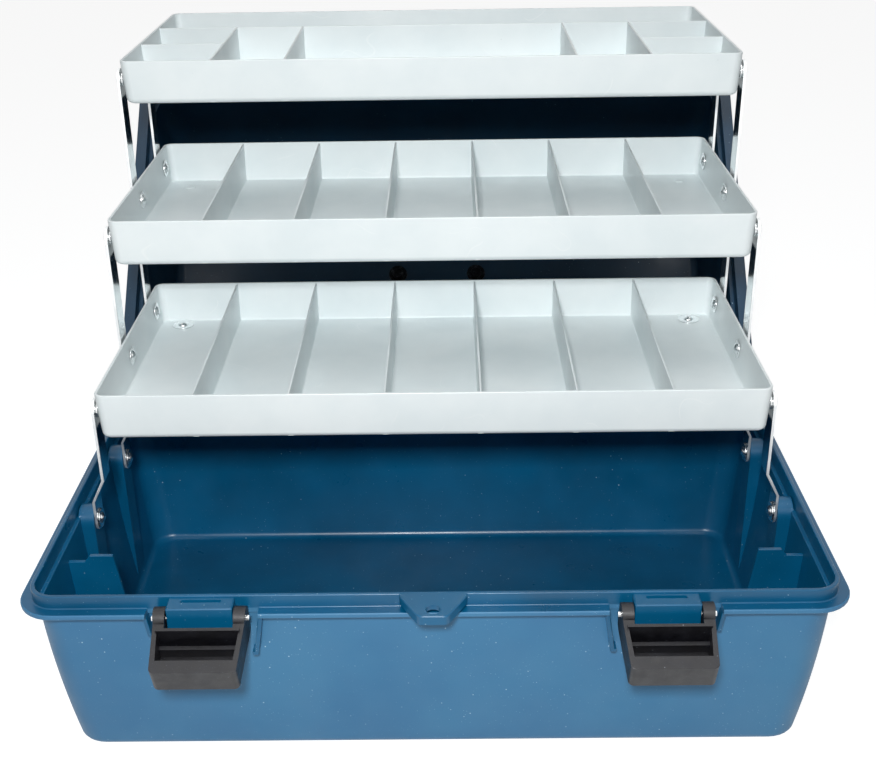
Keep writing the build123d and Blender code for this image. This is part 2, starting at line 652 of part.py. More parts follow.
# Dividers, drawn from the front edge of a tray
with BuildSketch() as row_dividers:
    cell_pitch = (TRAY_WIDTH - 2 * TRAY_WALL) / TRAY_COMPARTMENTS
    for number in range(1, TRAY_COMPARTMENTS):
        with Locations(((number - TRAY_COMPARTMENTS / 2) * cell_pitch, TRAY_DEPTH / 2)):
            Rectangle(DIVIDER_THICKNESS, TRAY_DEPTH)

with BuildSketch() as top_dividers:
    row_y = TRAY_DEPTH - TOP_TRAY_REAR_CELL
    with Locations((0, row_y)):
        Rectangle(TRAY_WIDTH, DIVIDER_THICKNESS)
    for side in (-1, 1):
        for divider_x in (TOP_TRAY_INNER_DIVIDER, TOP_TRAY_OUTER_DIVIDER):
            with Locations((side * divider_x, row_y / 2)):
                Rectangle(DIVIDER_THICKNESS, row_y)
        with Locations((side * (TOP_TRAY_OUTER_DIVIDER + TRAY_SIDE_X) / 2, row_y / 2)):
            Rectangle(TRAY_SIDE_X - TOP_TRAY_OUTER_DIVIDER, DIVIDER_THICKNESS)

# Where each tray stands: its front edge and its rim
tray_rows = [
    (column - PIVOT_FROM_TRAY_FRONT, level + PIVOT_BELOW_RIM)
    for column, level in zip(PIVOT_COLUMNS[:TRAYS], PIVOT_LEVELS[1:])
]
rivet_places = [
    (side * (TRAY_SIDE_X - FLOOR_RIVET_SIDE), tray_rows[0][0] + TRAY_DEPTH - FLOOR_RIVET_REAR)
    for side in (-1, 1)
]
bottom_floor = tray_rows[0][1] - TRAY_HEIGHT + TRAY_FLOOR

with BuildPart() as bottom_tray:
    add(tray_shell(*tray_rows[0], TRAY_HEIGHT, row_dividers.sketch, TRAY_PIVOTS))
    with BuildSketch(Plane.XY.offset(bottom_floor)):
        with Locations(*rivet_places):
            Circle(RIVET_RADIUS + FIXED_CLEARANCE)
    extrude(amount=-TRAY_FLOOR, mode=Mode.SUBTRACT)
save(bottom_tray.part, "bottom_tray")

with BuildPart() as middle_tray:
    add(tray_shell(*tray_rows[1], TRAY_HEIGHT, row_dividers.sketch, TRAY_PIVOTS))
    with BuildSketch(Plane.XY.offset(tray_rows[1][1] - TRAY_HEIGHT + TRAY_FLOOR)):
        for side in (-1, 1):
            with Locations((side * (TRAY_SIDE_X - PIP_SIDE), tray_rows[1][0] + TRAY_DEPTH - PIP_SIDE)):
                Circle(PIP_RADIUS)
    extrude(amount=PIP_HEIGHT)
save(middle_tray.part, "middle_tray")

with BuildPart() as top_tray:
    add(tray_shell(*tray_rows[2], TOP_TRAY_HEIGHT, top_dividers.sketch, TRAY_PIVOTS - 1))
save(top_tray.part, "top_tray")

# Rivets, washers and spacers of the trays
for number, tray_name in enumerate(("bottom_tray", "middle_tray", "top_tray")):
    pivots = TRAY_PIVOTS if number < TRAYS - 1 else TRAY_PIVOTS - 1
    washered = range(1, pivots)
    with BuildPart() as rivets:
        add(tray_rivets(*tray_rows[number], range(1), washered))
    save(rivets.part, f"{tray_name}_rivets")
    with BuildPart() as washers:
        add(rings(
            pivot_spots(*tray_rows[number], washered),
            WASHER_INNER,
            WASHER_THICKNESS,
            WASHER_RADIUS,
            RIVET_RADIUS + FIXED_CLEARANCE,
        ))
    save(washers.part, f"{tray_name}_washers")
    with BuildPart() as spacers:
        add(rings(
            pivot_spots(*tray_rows[number], range(pivots)),
            SPACER_INNER,
            SPACER_THICKNESS,
            SPACER_RADIUS,
            RIVET_RADIUS + FIXED_CLEARANCE,
        ))
    save(spacers.part, f"{tray_name}_spacers")

# Rivets through the bottom tray's floor
with BuildPart() as bottom_floor_washers:
    with BuildSketch(Plane.XY.offset(bottom_floor + FIXED_CLEARANCE)):
        with Locations(*rivet_places):
            Circle(SCREW_WASHER_RADIUS)
            Circle(RIVET_RADIUS + FIXED_CLEARANCE, mode=Mode.SUBTRACT)
    extrude(amount=WASHER_THICKNESS)
save(bottom_floor_washers.part, "bottom_floor_washers")

with BuildPart() as bottom_floor_rivets:
    # One clearance under the washer, one over it and one under the tray
    head_seat = bottom_floor + FIXED_CLEARANCE + WASHER_THICKNESS + FIXED_CLEARANCE
    tail_seat = bottom_floor - TRAY_FLOOR - FIXED_CLEARANCE
    with Locations(*[(x, y, head_seat) for x, y in rivet_places]):
        add(Rot(0, 90, 0) * rivet(0, head_seat - tail_seat, True))
save(bottom_floor_rivets.part, "bottom_floor_rivets")

# Lid, standing open
with BuildPart() as lid_hollow:
    with BuildSketch(lid_level(LID_BOTTOM)):
        with Locations((0, -HINGE_Y)):
            RectangleRounded(
                FLANGE_WIDTH - 2 * (LIP_INSET - LID_LIP_GAP),
                FLANGE_DEPTH - 2 * (LIP_INSET - LID_LIP_GAP),
                TUB_CORNER_RADIUS,
            )
    extrude(amount=LID_LIP_POCKET)
    hollow_rows = (
        (LID_BOTTOM + LID_LIP_POCKET, LID_WALL_INSET + LID_WALL),
        (LID_INNER_TOP, LID_TOP_INSET + LID_WALL),
    )
    with BuildPart(mode=Mode.PRIVATE) as dome:
        for height, inset in hollow_rows:
            with BuildSketch(lid_level(height)):
                with Locations((0, -HINGE_Y)):
                    RectangleRounded(
                        FLANGE_WIDTH - 2 * inset,
                        FLANGE_DEPTH - 2 * inset,
                        TUB_CORNER_RADIUS - LID_WALL,
                    )
        loft()
        fillet(dome.faces().sort_by(LID_UP)[-1].edges(), LID_TOP_ROUNDING - LID_WALL)
    add(dome.part)

with BuildPart() as lid_shell:
    wall_rows = (
        (LID_BOTTOM, LID_WALL_INSET),
        (LID_TOP, LID_TOP_INSET),
    )
    for height, inset in wall_rows:
        with BuildSketch(lid_level(height)):
            with Locations((0, -HINGE_Y)):
                RectangleRounded(
                    FLANGE_WIDTH - 2 * inset,
                    FLANGE_DEPTH - 2 * inset,
                    TUB_CORNER_RADIUS,
                )
    loft()
    fillet(lid_shell.faces().sort_by(LID_UP)[-1].edges(), LID_TOP_ROUNDING)
    # Band around the lip pocket, and the flange
    with BuildSketch(lid_level(LID_BOTTOM)):
        with Locations((0, -HINGE_Y)):
            RectangleRounded(
                FLANGE_WIDTH - 2 * LID_BAND_INSET,
                FLANGE_DEPTH - 2 * LID_BAND_INSET,
                TUB_CORNER_RADIUS + LID_WALL,
            )
    extrude(amount=LID_BAND_TOP - LID_BOTTOM)
    with BuildSketch(lid_level(LID_BOTTOM)):
        with Locations((0, -HINGE_Y - LID_OVERHANG / 2)):
            RectangleRounded(
                FLANGE_WIDTH + 2 * LID_OVERHANG,
                FLANGE_DEPTH + LID_OVERHANG,
                FLANGE_CORNER_RADIUS,
            )
    extrude(amount=LID_FLANGE_THICKNESS)
    # Catches that the latches hook over
    catch_low = LID_BOTTOM + CATCH_RISE
    for side in (-1, 1):
        with BuildSketch(LID_SIDE.offset(side * LATCH_OFFSET)):
            with BuildLine():
                Polyline(
                    (FRONT_Y + LID_WALL_INSET + LID_WALL - HINGE_Y, catch_low - HINGE_Z),
                    (FRONT_Y + LID_WALL_INSET + LID_WALL - HINGE_Y, catch_low + CATCH_HEIGHT - HINGE_Z),
                    (FRONT_Y - CATCH_REACH - HINGE_Y, catch_low + CATCH_HEIGHT - HINGE_Z),
                    (FRONT_Y - CATCH_REACH - HINGE_Y, catch_low + CATCH_HEIGHT / 2 - HINGE_Z),
                    close=True,
                )
            make_face()
        extrude(amount=CATCH_WIDTH / 2, both=True)
    # Hinge barrels
    for side in (-1, 1):
        with BuildSketch(LID_SIDE.offset(side * HINGE_OFFSET)):
            Circle(HINGE_BARREL_RADIUS)
            with BuildLine():
                Polyline(
                    (0, LID_GAP),
                    (0, HINGE_BARREL_RADIUS),
                    (-HINGE_BEHIND_FLANGE - LID_WALL_INSET - LID_WALL / 2, HINGE_GUSSET),
                    (-HINGE_BEHIND_FLANGE - LID_WALL_INSET - LID_WALL / 2, LID_GAP),
                    close=True,
                )
            make_face()
        extrude(amount=HINGE_LID_BARREL / 2, both=True)
        with BuildSketch(LID_SIDE.offset(side * HINGE_OFFSET)):
            Circle(HINGE_PIN_RADIUS + RUNNING_CLEARANCE)
        extrude(amount=HINGE_LID_BARREL / 2, both=True, mode=Mode.SUBTRACT)
    add(lid_hollow.part, mode=Mode.SUBTRACT)
    # Room in the front edge for the padlock tab, the latch blocks and the latches
    with BuildSketch(lid_level(LID_BOTTOM)):
        with Locations((0, FRONT_Y - HINGE_Y)):
            Rectangle(TAB_ROOT_WIDTH + 2 * LID_LIP_GAP, 2 * LIP_INSET)
    extrude(amount=LIP_TOP - FLANGE_TOP, mode=Mode.SUBTRACT)
    for side in (-1, 1):
        with BuildSketch(lid_level(LID_BOTTOM)):
            with Locations((side * LATCH_OFFSET, FRONT_Y - HINGE_Y)):
                Rectangle(LATCH_LUG_WIDTH + 2 * LID_LIP_GAP, 2 * LIP_INSET)
        extrude(amount=LATCH_LUG_TOP - FLANGE_TOP, mode=Mode.SUBTRACT)
        with BuildSketch(lid_level(LID_BOTTOM)):
            with Locations((side * LATCH_OFFSET, FRONT_Y - HINGE_Y)):
                Rectangle(LATCH_NOTCH_WIDTH, 2 * LID_BAND_INSET)
        extrude(amount=LID_FLANGE_THICKNESS, mode=Mode.SUBTRACT)
    # Padlock tab that lies on the tub's
    with BuildSketch(lid_level(LIP_TOP + LID_GAP)):
        with Locations((0, -HINGE_Y)):
            add(tab_outline.sketch)
        with Locations((0, FRONT_Y - TAB_REACH + TAB_HOLE_SETBACK - HINGE_Y)):
            Circle(TAB_HOLE_RADIUS, mode=Mode.SUBTRACT)
    extrude(amount=TAB_THICKNESS)
    # Holes for the handle's screws
    with BuildSketch(lid_level(LID_INNER_TOP)):
        with Locations(*[(side * HANDLE_SCREW_OFFSET, -HINGE_Y) for side in (-1, 1)]):
            Circle(SCREW_RADIUS + FIXED_CLEARANCE)
    extrude(amount=LID_TOP_THICKNESS, mode=Mode.SUBTRACT)
save(lid_shell.part, "lid_shell")

# Handle: screws and washers inside the lid, brackets and bail outside
screw_places = [(side * HANDLE_SCREW_OFFSET, -HINGE_Y) for side in (-1, 1)]
with BuildPart() as handle_screw_washers:
    with BuildSketch(lid_level(LID_INNER_TOP - FIXED_CLEARANCE)):
        with Locations(*screw_places):
            Circle(SCREW_WASHER_RADIUS)
            Circle(SCREW_RADIUS + FIXED_CLEARANCE, mode=Mode.SUBTRACT)
    extrude(amount=-SCREW_WASHER_THICKNESS)
save(handle_screw_washers.part, "handle_screw_washers")

with BuildPart() as handle_screws:
    head_level = LID_INNER_TOP - FIXED_CLEARANCE - SCREW_WASHER_THICKNESS - FIXED_CLEARANCE
    with BuildSketch(lid_level(head_level)):
        with Locations(*screw_places):
            Circle(SCREW_HEAD_RADIUS)
    extrude(amount=-SCREW_HEAD_HEIGHT)
    fillet(handle_screws.faces().group_by(LID_UP)[0].edges(), SCREW_HEAD_HEIGHT / 2)
    with BuildSketch(lid_level(head_level)):
        with Locations(*screw_places):
            Circle(SCREW_RADIUS)
    extrude(amount=SCREW_LENGTH)
save(handle_screws.part, "handle_screws")

with BuildPart() as handle_brackets:
    for side in (-1, 1):
        with BuildSketch(LID_SIDE.offset(side * HANDLE_SCREW_OFFSET)):
            with Locations((-HINGE_Y, LID_TOP + HANDLE_BRACKET_PLATE / 2 - HINGE_Z)):
                Rectangle(HANDLE_BRACKET_LENGTH, HANDLE_BRACKET_PLATE)
            with Locations((-HINGE_Y, LID_TOP + HANDLE_AXIS_HEIGHT / 2 - HINGE_Z)):
                Rectangle(2 * HANDLE_BARREL_RADIUS, HANDLE_AXIS_HEIGHT)
            with Locations((-HINGE_Y, LID_TOP + HANDLE_AXIS_HEIGHT - HINGE_Z)):
                Circle(HANDLE_BARREL_RADIUS)
                Circle(HANDLE_STUB_RADIUS + RUNNING_CLEARANCE, mode=Mode.SUBTRACT)
        extrude(amount=HANDLE_BRACKET_WIDTH / 2, both=True)
    with BuildSketch(lid_level(LID_TOP)):
        with Locations(*screw_places):
            Circle(SCREW_RADIUS + FIXED_CLEARANCE)
    extrude(amount=SCREW_LENGTH - SCREW_WASHER_THICKNESS - LID_TOP_THICKNESS, mode=Mode.SUBTRACT)
save(handle_brackets.part, "handle_brackets")

with BuildPart() as handle_grip:
    leg_inner = HANDLE_SCREW_OFFSET + HANDLE_BRACKET_WIDTH / 2 + HANDLE_LEG_GAP
    for side in (-1, 1):
        with BuildSketch(Plane.YZ.offset(side * leg_inner)):
            with Locations((HANDLE_PIVOT.Y, HANDLE_PIVOT.Z - HANDLE_REACH / 2)):
                SlotCenterToCenter(HANDLE_REACH, HANDLE_LEG_WIDTH, rotation=90)
        extrude(amount=side * HANDLE_LEG_THICKNESS)
        with BuildSketch(Plane.YZ.offset(side * leg_inner)):
            with Locations((HANDLE_PIVOT.Y, HANDLE_PIVOT.Z)):
                Circle(HANDLE_STUB_RADIUS)
        extrude(amount=-side * (HANDLE_BRACKET_WIDTH + HANDLE_LEG_GAP))
    with BuildSketch(Plane.YZ):
        with Locations((HANDLE_PIVOT.Y, HANDLE_PIVOT.Z - HANDLE_REACH)):
            Circle(HANDLE_GRIP_RADIUS)
    extrude(amount=leg_inner + HANDLE_LEG_THICKNESS, both=True)
save(handle_grip.part, "handle_grip")

# Latches, drawn at their pins: side views run outwards and up, plans run inwards
for side, hand in ((-1, "left"), (1, "right")):
    pin_place = (side * LATCH_OFFSET, LATCH_PIN_Y, LATCH_PIN_HEIGHT)
    latch_side = Plane(origin=pin_place, x_dir=(0, -math.cos(DROOP), -math.sin(DROOP)), z_dir=(-1, 0, 0))
    latch_plan = Plane(origin=pin_place, x_dir=(1, 0, 0), z_dir=(0, -math.sin(DROOP), math.cos(DROOP)))
    end_y = -LATCH_REACH
    rear_y = LATCH_EAR_RADIUS + LATCH_BACK
    flare = (LATCH_WIDTH - LATCH_END_WIDTH) / 2 / LATCH_REACH
    floor_level = LATCH_WALL - LATCH_DEPTH
    with BuildPart() as latch:
        with BuildSketch(latch_side):
            Circle(LATCH_EAR_RADIUS)
            with BuildLine():
                Polyline(
                    (-LATCH_BACK, -LATCH_DEPTH),
                    (LATCH_REACH, -LATCH_DEPTH),
                    (LATCH_REACH, LATCH_RIM_FRONT),
                    (0, LATCH_RIM_BACK),
                    (-LATCH_EAR_RADIUS, 0),
                    close=True,
                )
            make_face()
        extrude(amount=LATCH_WIDTH / 2, both=True)
        with BuildSketch(latch_plan.offset(-LATCH_DEPTH)) as plan:
            with BuildLine():
                Polyline(
                    (-LATCH_WIDTH / 2, rear_y),
                    (-LATCH_WIDTH / 2, 0),
                    (-LATCH_END_WIDTH / 2, end_y),
                    (LATCH_END_WIDTH / 2, end_y),
                    (LATCH_WIDTH / 2, 0),
                    (LATCH_WIDTH / 2, rear_y),
                    close=True,
                )
            make_face()
            fillet(plan.vertices().group_by(Axis.Y)[0], LATCH_END_ROUNDING)
        extrude(amount=LATCH_DEPTH + LATCH_EAR_RADIUS, mode=Mode.INTERSECT)
        # Inside between the ears and the hook
        with BuildSketch(latch_plan.offset(floor_level)):
            with BuildLine():
                Polyline(
                    (-LATCH_WIDTH / 2 + LATCH_WALL + flare * LATCH_EAR_REACH, -LATCH_EAR_REACH),
                    (-LATCH_END_WIDTH / 2 + LATCH_WALL, end_y + LATCH_HOOK_WIDTH),
                    (LATCH_END_WIDTH / 2 - LATCH_WALL, end_y + LATCH_HOOK_WIDTH),
                    (LATCH_WIDTH / 2 - LATCH_WALL - flare * LATCH_EAR_REACH, -LATCH_EAR_REACH),
                    close=True,
                )
            make_face()
        extrude(amount=LATCH_DEPTH + LATCH_EAR_RADIUS, mode=Mode.SUBTRACT)
        # Room under the hook
        with BuildSketch(latch_plan.offset(floor_level)):
            with Locations((0, end_y + (LATCH_HOOK_WIDTH + LATCH_WALL) / 2)):
                Rectangle(LATCH_POCKET_WIDTH, LATCH_HOOK_WIDTH - LATCH_WALL)
        extrude(amount=LATCH_DEPTH - LATCH_WALL - LATCH_HOOK_THICKNESS, mode=Mode.SUBTRACT)
        # Room for the block that holds the pin
        with BuildSketch(latch_plan.offset(floor_level)):
            with Locations((0, (rear_y - LATCH_EAR_REACH) / 2)):
                Rectangle(LATCH_LUG_WIDTH + 2 * LATCH_SIDE_GAP, rear_y + LATCH_EAR_REACH)
        extrude(amount=LATCH_DEPTH + LATCH_EAR_RADIUS, mode=Mode.SUBTRACT)
        # Bar in front of the block, and rib across the inside
        for reach, thickness, height in (
            (LATCH_EAR_REACH + LATCH_BAR_THICKNESS / 2, LATCH_BAR_THICKNESS, LATCH_BAR_TOP - floor_level),
            (LATCH_RIB_REACH, LATCH_WALL, LATCH_RIB_HEIGHT),
        ):
            with BuildSketch(latch_plan.offset(floor_level)):
                with Locations((0, -reach)):
                    Rectangle(LATCH_WIDTH - 2 * LATCH_WALL, thickness)
            extrude(amount=height)
        with BuildSketch(latch_side):
            Circle(LATCH_PIN_RADIUS + RUNNING_CLEARANCE)
        extrude(amount=LATCH_WIDTH / 2, both=True, mode=Mode.SUBTRACT)
    save(latch.part, f"latch_{hand}")
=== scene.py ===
import math
import bpy
import numpy as np
from mathutils import Matrix


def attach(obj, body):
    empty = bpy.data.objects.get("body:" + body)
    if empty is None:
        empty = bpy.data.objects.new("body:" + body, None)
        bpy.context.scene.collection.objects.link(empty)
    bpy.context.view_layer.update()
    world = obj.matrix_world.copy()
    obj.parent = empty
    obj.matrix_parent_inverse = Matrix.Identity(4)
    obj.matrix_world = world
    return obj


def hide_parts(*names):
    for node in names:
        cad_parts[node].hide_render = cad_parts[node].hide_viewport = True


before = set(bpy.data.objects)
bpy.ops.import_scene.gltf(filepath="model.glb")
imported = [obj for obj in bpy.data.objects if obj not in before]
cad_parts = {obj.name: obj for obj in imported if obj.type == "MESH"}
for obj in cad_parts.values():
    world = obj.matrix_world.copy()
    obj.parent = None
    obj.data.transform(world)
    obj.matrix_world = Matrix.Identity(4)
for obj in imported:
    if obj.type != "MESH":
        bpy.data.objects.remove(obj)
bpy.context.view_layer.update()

# Three-tray storage box. Shapes are worked out in millimetres and put into the meshes in metres.
MM = 0.001
SHARP = math.radians(38)

# Tub: plan, heights, wall, its insets at the ground, at the waist and at the top, and corner radii
WIDTH, DEPTH = 460.0, 256.0
FRONT, REAR = -DEPTH / 2, DEPTH / 2
FLANGE_LOW, FLANGE_TOP, LIP_TOP, LEDGE = 103.5, 106.5, 114.5, 104.5
LIP_OUT, LIP_IN = 6.5, 9.0
TUB_WALL, TUB_FLOOR = 3.4, 4.2
GROUND_INSET, WAIST_INSET, TOP_INSET, WAIST = 17.3, 11.8, 8.0, 45.0
TUB_RADIUS, TUB_INNER_RADIUS, FLANGE_RADIUS = 18.0, 14.6, 22.0
GROUND_ROUNDING, FLOOR_ROUNDING = 7.0, 5.0
# Latch places with their blocks, the notches in the flange, and the ribs beside them
LATCH_X, NOTCH_HALF = 126.0, 30.6
RIB_WIDTH, RIB_LEAN, RIB_LONG, RIB_SHORT = 2.4, 4.1, 26.0, 13.0
RIB_FOOT, RIB_FOOT_HEIGHT = 0.9, 2.25
BLOCK_HALF, BLOCK_FRONT, BLOCK_REAR, BLOCK_LOW, BLOCK_TOP = 18.0, -4.2, 9.7, 99.4, 113.4
SLOT_HALF, SLOT_FRONT, SLOT_REAR, SLOT_FLOOR = 11.0, 2.0, 4.5, 110.4
# Webs and pivot columns inside, both rooted at the middle of the floor and of the wall
ROOT = TUB_FLOOR / 2
WEB_FRONT, WEB_REAR, WEB_SIDE_TOP, WEB_TOP = FRONT + 69.2, FRONT + 71.8, 95.0, 99.1
COLUMN_HALF, COLUMN_FACE, COLUMN_PLACES, PIVOT_Z = 9.0, 210.55, (-17.0, 59.0), 100.0
# Padlock tabs
TAB_THICKNESS, TAB_LOW, TAB_SKIRT, HOLE_RADIUS = 3.0, 109.0, 2.0, 4.0
# Hinges and buttresses
HINGE_Y, HINGE_Z, OPEN = 135.0, 106.65, math.radians(133.0)
HINGE_X, BARREL_RADIUS, BARREL_ROUNDING = 140.0, 5.2, 0.5
LID_BARREL_HALF, TUB_BARREL_START, TUB_BARREL, BUTTRESS = 11.0, 11.5, 14.0, 4.0
# Lid, as it lies on the closed box
LID_LOW, LID_IN, LID_OUT, LID_OVERHANG, LID_RADIUS = 106.8, 203.905, 205.905, -3.0, 18.0
LID_BAND, LID_FLANGE_TOP, LID_BAND_TOP, LID_POCKET_TOP = 3.4, 109.8, 117.7, 115.8
OVER_TAB, OVER_TAB_Z, OVER_BLOCK, OVER_BLOCK_Z = 21.2, 114.8, 19.2, 113.7
CATCH_HALF = 17.0
# Trays: plan, wall, floor and taper, then front edge, rim height and height of each
SPACING, PITCH = 76.0, 30.0
LINK = math.hypot(SPACING, PITCH)
TRAY_WIDTH, TRAY_DEPTH, TRAY_WALL, TRAY_FLOOR, TAPER = 400.0, 182.0, 1.7, 1.6, 1.5
TRAY_RADIUS, TRAY_INNER_RADIUS, RIM_ROUNDING, CELLS = 6.0, 4.3, 0.45, 7
TRAYS = [("bottom", -26.6, 189.0, 29.5), ("middle", 49.4, 189.0 + LINK, 29.5),
         ("top", 125.4, 189.0 + 2 * LINK, 28.0)]
DIVIDER_DROP, DIVIDER_HALF, FOOT_HALF, FOOT_FILLET = 0.8, 0.7, 1.6, 0.9
TOP_ROW, TOP_CROSS, TOP_INNER, TOP_OUTER = 60.0, 61.0, 94.0, 142.0
PIP_PROFILE, PIP_SIDE, PIP_REAR = [(-0.5, 3.6), (0.1, 3.5), (0.45, 3.2), (0.6, 2.6)], 180.0, 20.0


# Surfaces

def skin(x, y, z, closed=False):
    """Quads over a grid of rings: rows follow one another, columns go round. The ends get one flat face each,
    or the last row joins the first if closed."""
    rows, columns = x.shape
    number = np.arange(rows * columns).reshape(rows, columns)
    beside = np.roll(number, -1, axis=1)
    if closed:
        ring = [number, beside, np.roll(beside, -1, axis=0), np.roll(number, -1, axis=0)]
    else:
        ring = [number[:-1], beside[:-1], beside[1:], number[1:]]
    quads = np.stack(ring, axis=-1).reshape(-1, 4).tolist()
    ends = [] if closed else [number[0][::-1].tolist(), number[-1].tolist()]
    return np.stack([x, y, z], axis=-1).reshape(-1, 3), quads + ends


def turn_corners(corners, steps=6):
    """Profile through corners (across, up, ring radius, arc radius): at each corner with an arc radius r the
    two edges are left at r / tan(half the angle between them), and a circular arc of that radius joins them."""
    points = np.array(corners, float)
    rows = [points[0, :3]]
    for before, here, after in zip(points, points[1:], points[2:]):
        radius = here[3]
        if radius == 0:
            rows.append(here[:3])
            continue
        back, on = before[:3] - here[:3], after[:3] - here[:3]
        u, v = back / np.hypot(*back[:2]), on / np.hypot(*on[:2])
        angle = math.acos(np.clip(u[:2] @ v[:2], -1, 1))
        reach = radius / math.tan(angle / 2)
        start, end = here[:3] + u * reach, here[:3] + v * reach
        way = (u + v)[:2] / np.hypot(*(u + v)[:2])
        centre = here[:2] + way * radius / math.sin(angle / 2)
        turn = math.pi - angle
        s = np.linspace(0, 1, steps + 1)[:, None]
        arc = np.sin((1 - s) * turn) * (start[:2] - centre) + np.sin(s * turn) * (end[:2] - centre)
        rows.extend(np.hstack([centre + arc / math.sin(turn), start[2:] + s * (end[2:] - start[2:])]))
    rows.append(points[-1, :3])
    return np.array(rows)


def rounded_rings(left, right, front, rear, radius, marks=(), steps=8):
    """Rounded rectangles, one a row: marks are fixed places along the front edge, then each corner is a
    quarter circle of the row's radius, counted round from the front edge to the right, rear and left."""
    left, right, front, rear, radius = (np.broadcast_to(np.array(v, float), (len(radius),))[:, None]
                                        for v in (left, right, front, rear, radius))
    marks = np.array(sorted(marks), float)[None, :]
    xs, ys = [marks + 0 * left], [front + 0 * marks]
    corners = [(right, front, -1, 1), (right, rear, -1, -1), (left, rear, 1, -1), (left, front, 1, 1)]
    for quarter, (x, y, sx, sy) in enumerate(corners):
        angle = (np.linspace(-90, 0, steps + 1) + 90 * quarter)[None, :] * math.pi / 180
        xs.append(x + sx * radius + radius * np.cos(angle))
        ys.append(y + sy * radius + radius * np.sin(angle))
    return np.hstack(xs), np.hstack(ys)


def inset_shell(profile, width, depth, middle=0.0, marks=(), rear_least=-99.0):
    """Grid of rounded rectangles that are drawn in from width and depth by the profile's inset at its height.
    Towards the rear the inset is at least rear_least."""
    inset, height, radius = profile.T
    x, y = rounded_rings(inset - width / 2, width / 2 - inset, middle - depth / 2 + inset,
                         middle + depth / 2 - np.maximum(inset, rear_least), radius, marks)
    return x, y, height[:, None] + 0 * x


def prism(outline, axis, low, high):
    """Straight solid: one outline at two places along the axis. Outlines are (y, z), (x, z) or (x, y)."""
    a, b = np.array(outline, float).T
    if axis == "y":
        a, b = b, a
    if np.sum(a * np.roll(b, -1) - np.roll(a, -1) * b) < 0:
        a, b = a[::-1], b[::-1]
    a, b = np.tile(a, (2, 1)), np.tile(b, (2, 1))
    along = np.array([[low], [high]]) + 0 * a
    return skin(*{"x": (along, a, b), "y": (b, along, a), "z": (a, b, along)}[axis])


def turned(profile, axis, centre, sides=28):
    """Solid turned about a line: circles of the profile's radii at its places along the axis."""
    along, radius = np.array(profile, float).T[:, :, None]
    angle = np.arange(sides)[None, :] * 2 * math.pi / sides
    a, b, along = radius * np.cos(angle), radius * np.sin(angle), along + 0 * angle
    x, y, z = {"x": (along, a, b), "z": (a, b, along)}[axis]
    return skin(x + centre[0], y + centre[1], z + centre[2])


def reach_in_plan(corners, centre, shrink, count=64):
    """Ring at the distance from the centre to the outline in each direction: the least, over the edges that
    the direction meets, of the edge's distance less shrink, divided by the cosine to its normal."""
    points = np.array(corners, float) - centre
    run = np.roll(points, -1, axis=0) - points
    normal = np.stack([run[:, 1], -run[:, 0]], axis=1) / np.hypot(*run.T)[:, None]
    angle = np.arange(count) * 2 * math.pi / count
    way = np.stack([np.cos(angle), np.sin(angle)], axis=1)
    cosine = way @ normal.T
    distance = np.sum(points * normal, axis=1) - shrink
    reach = np.min(np.where(cosine > 1e-6, distance / np.maximum(cosine, 1e-6), 1e9), axis=1)
    return centre[0] + reach * way[:, 0], centre[1] + reach * way[:, 1]


def drilled_plate(corners, centre, hole, levels):
    """Closed band of rings: up the hole, out over the top and back under the plate. Levels are (shrink,
    height); a shrink of None is the hole."""
    angle = np.arange(64) * 2 * math.pi / 64
    round_hole = (centre[0] + hole * np.cos(angle), centre[1] + hole * np.sin(angle))
    rings = [round_hole if shrink is None else reach_in_plan(corners, centre, shrink) for shrink, _ in levels]
    x, y = np.array([r[0] for r in rings]), np.array([r[1] for r in rings])
    points, faces = skin(x, y, np.array([h for _, h in levels])[:, None] + 0 * x, closed=True)
    return points, [face[::-1] for face in faces]


def joined(*parts):
    """One mesh of several: each part's face numbers are counted on from the points before it."""
    starts = np.cumsum([0] + [len(points) for points, _ in parts])
    faces = [[int(start) + corner for corner in face]
             for start, (_, some) in zip(starts, parts) for face in some]
    return np.vstack([points for points, _ in parts]), faces


def laid_open(mesh):
    """The lid's points turned about the hinge line by the open angle."""
    points, faces = mesh
    y, z = points[:, 1] - HINGE_Y, points[:, 2] - HINGE_Z
    turned_points = np.stack([points[:, 0], HINGE_Y + y * math.cos(OPEN) + z * math.sin(OPEN),
                              HINGE_Z - y * math.sin(OPEN) + z * math.cos(OPEN)], axis=1)
    return turned_points, faces


def both_sides(make):
    """The left and the right copy of something made for a side of -1 or 1."""
    return joined(make(-1), make(1))


def finish_piece(thing, bevel):
    """Softened edges of a real width, then normals that keep the flat faces flat."""
    if bevel:
        edge = thing.modifiers.new("soft edges", "BEVEL")
        edge.width, edge.segments, edge.limit_method = bevel * MM, 2, "ANGLE"
        edge.angle_limit, edge.harden_normals = SHARP, True
    normals = thing.modifiers.new("even normals", "WEIGHTED_NORMAL")
    normals.keep_sharp = True


def piece(name, body, finish, mesh, stands_for=(), bevel=0.0, other=None):
    """One shown piece that moves with a body and stands for the CAD nodes named. Other is a second finish
    with the first and last face that it covers."""
    points, faces = mesh
    data = bpy.data.meshes.new(name)
    data.from_pydata((points * MM).tolist(), [], faces)
    data.materials.append(finish)
    if other:
        data.materials.append(other[0])
        number = np.arange(len(faces))
        covered = (number >= other[1]) & (number < other[2])
        data.polygons.foreach_set("material_index", covered.astype(np.int32))
    data.shade_smooth()
    data.set_sharp_from_angle(angle=SHARP)
    thing = bpy.data.objects.new(name, data)
    bpy.context.scene.collection.objects.link(thing)
    finish_piece(thing, bevel)
    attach(thing, body)
    if stands_for:
        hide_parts(*stands_for)
    return thing


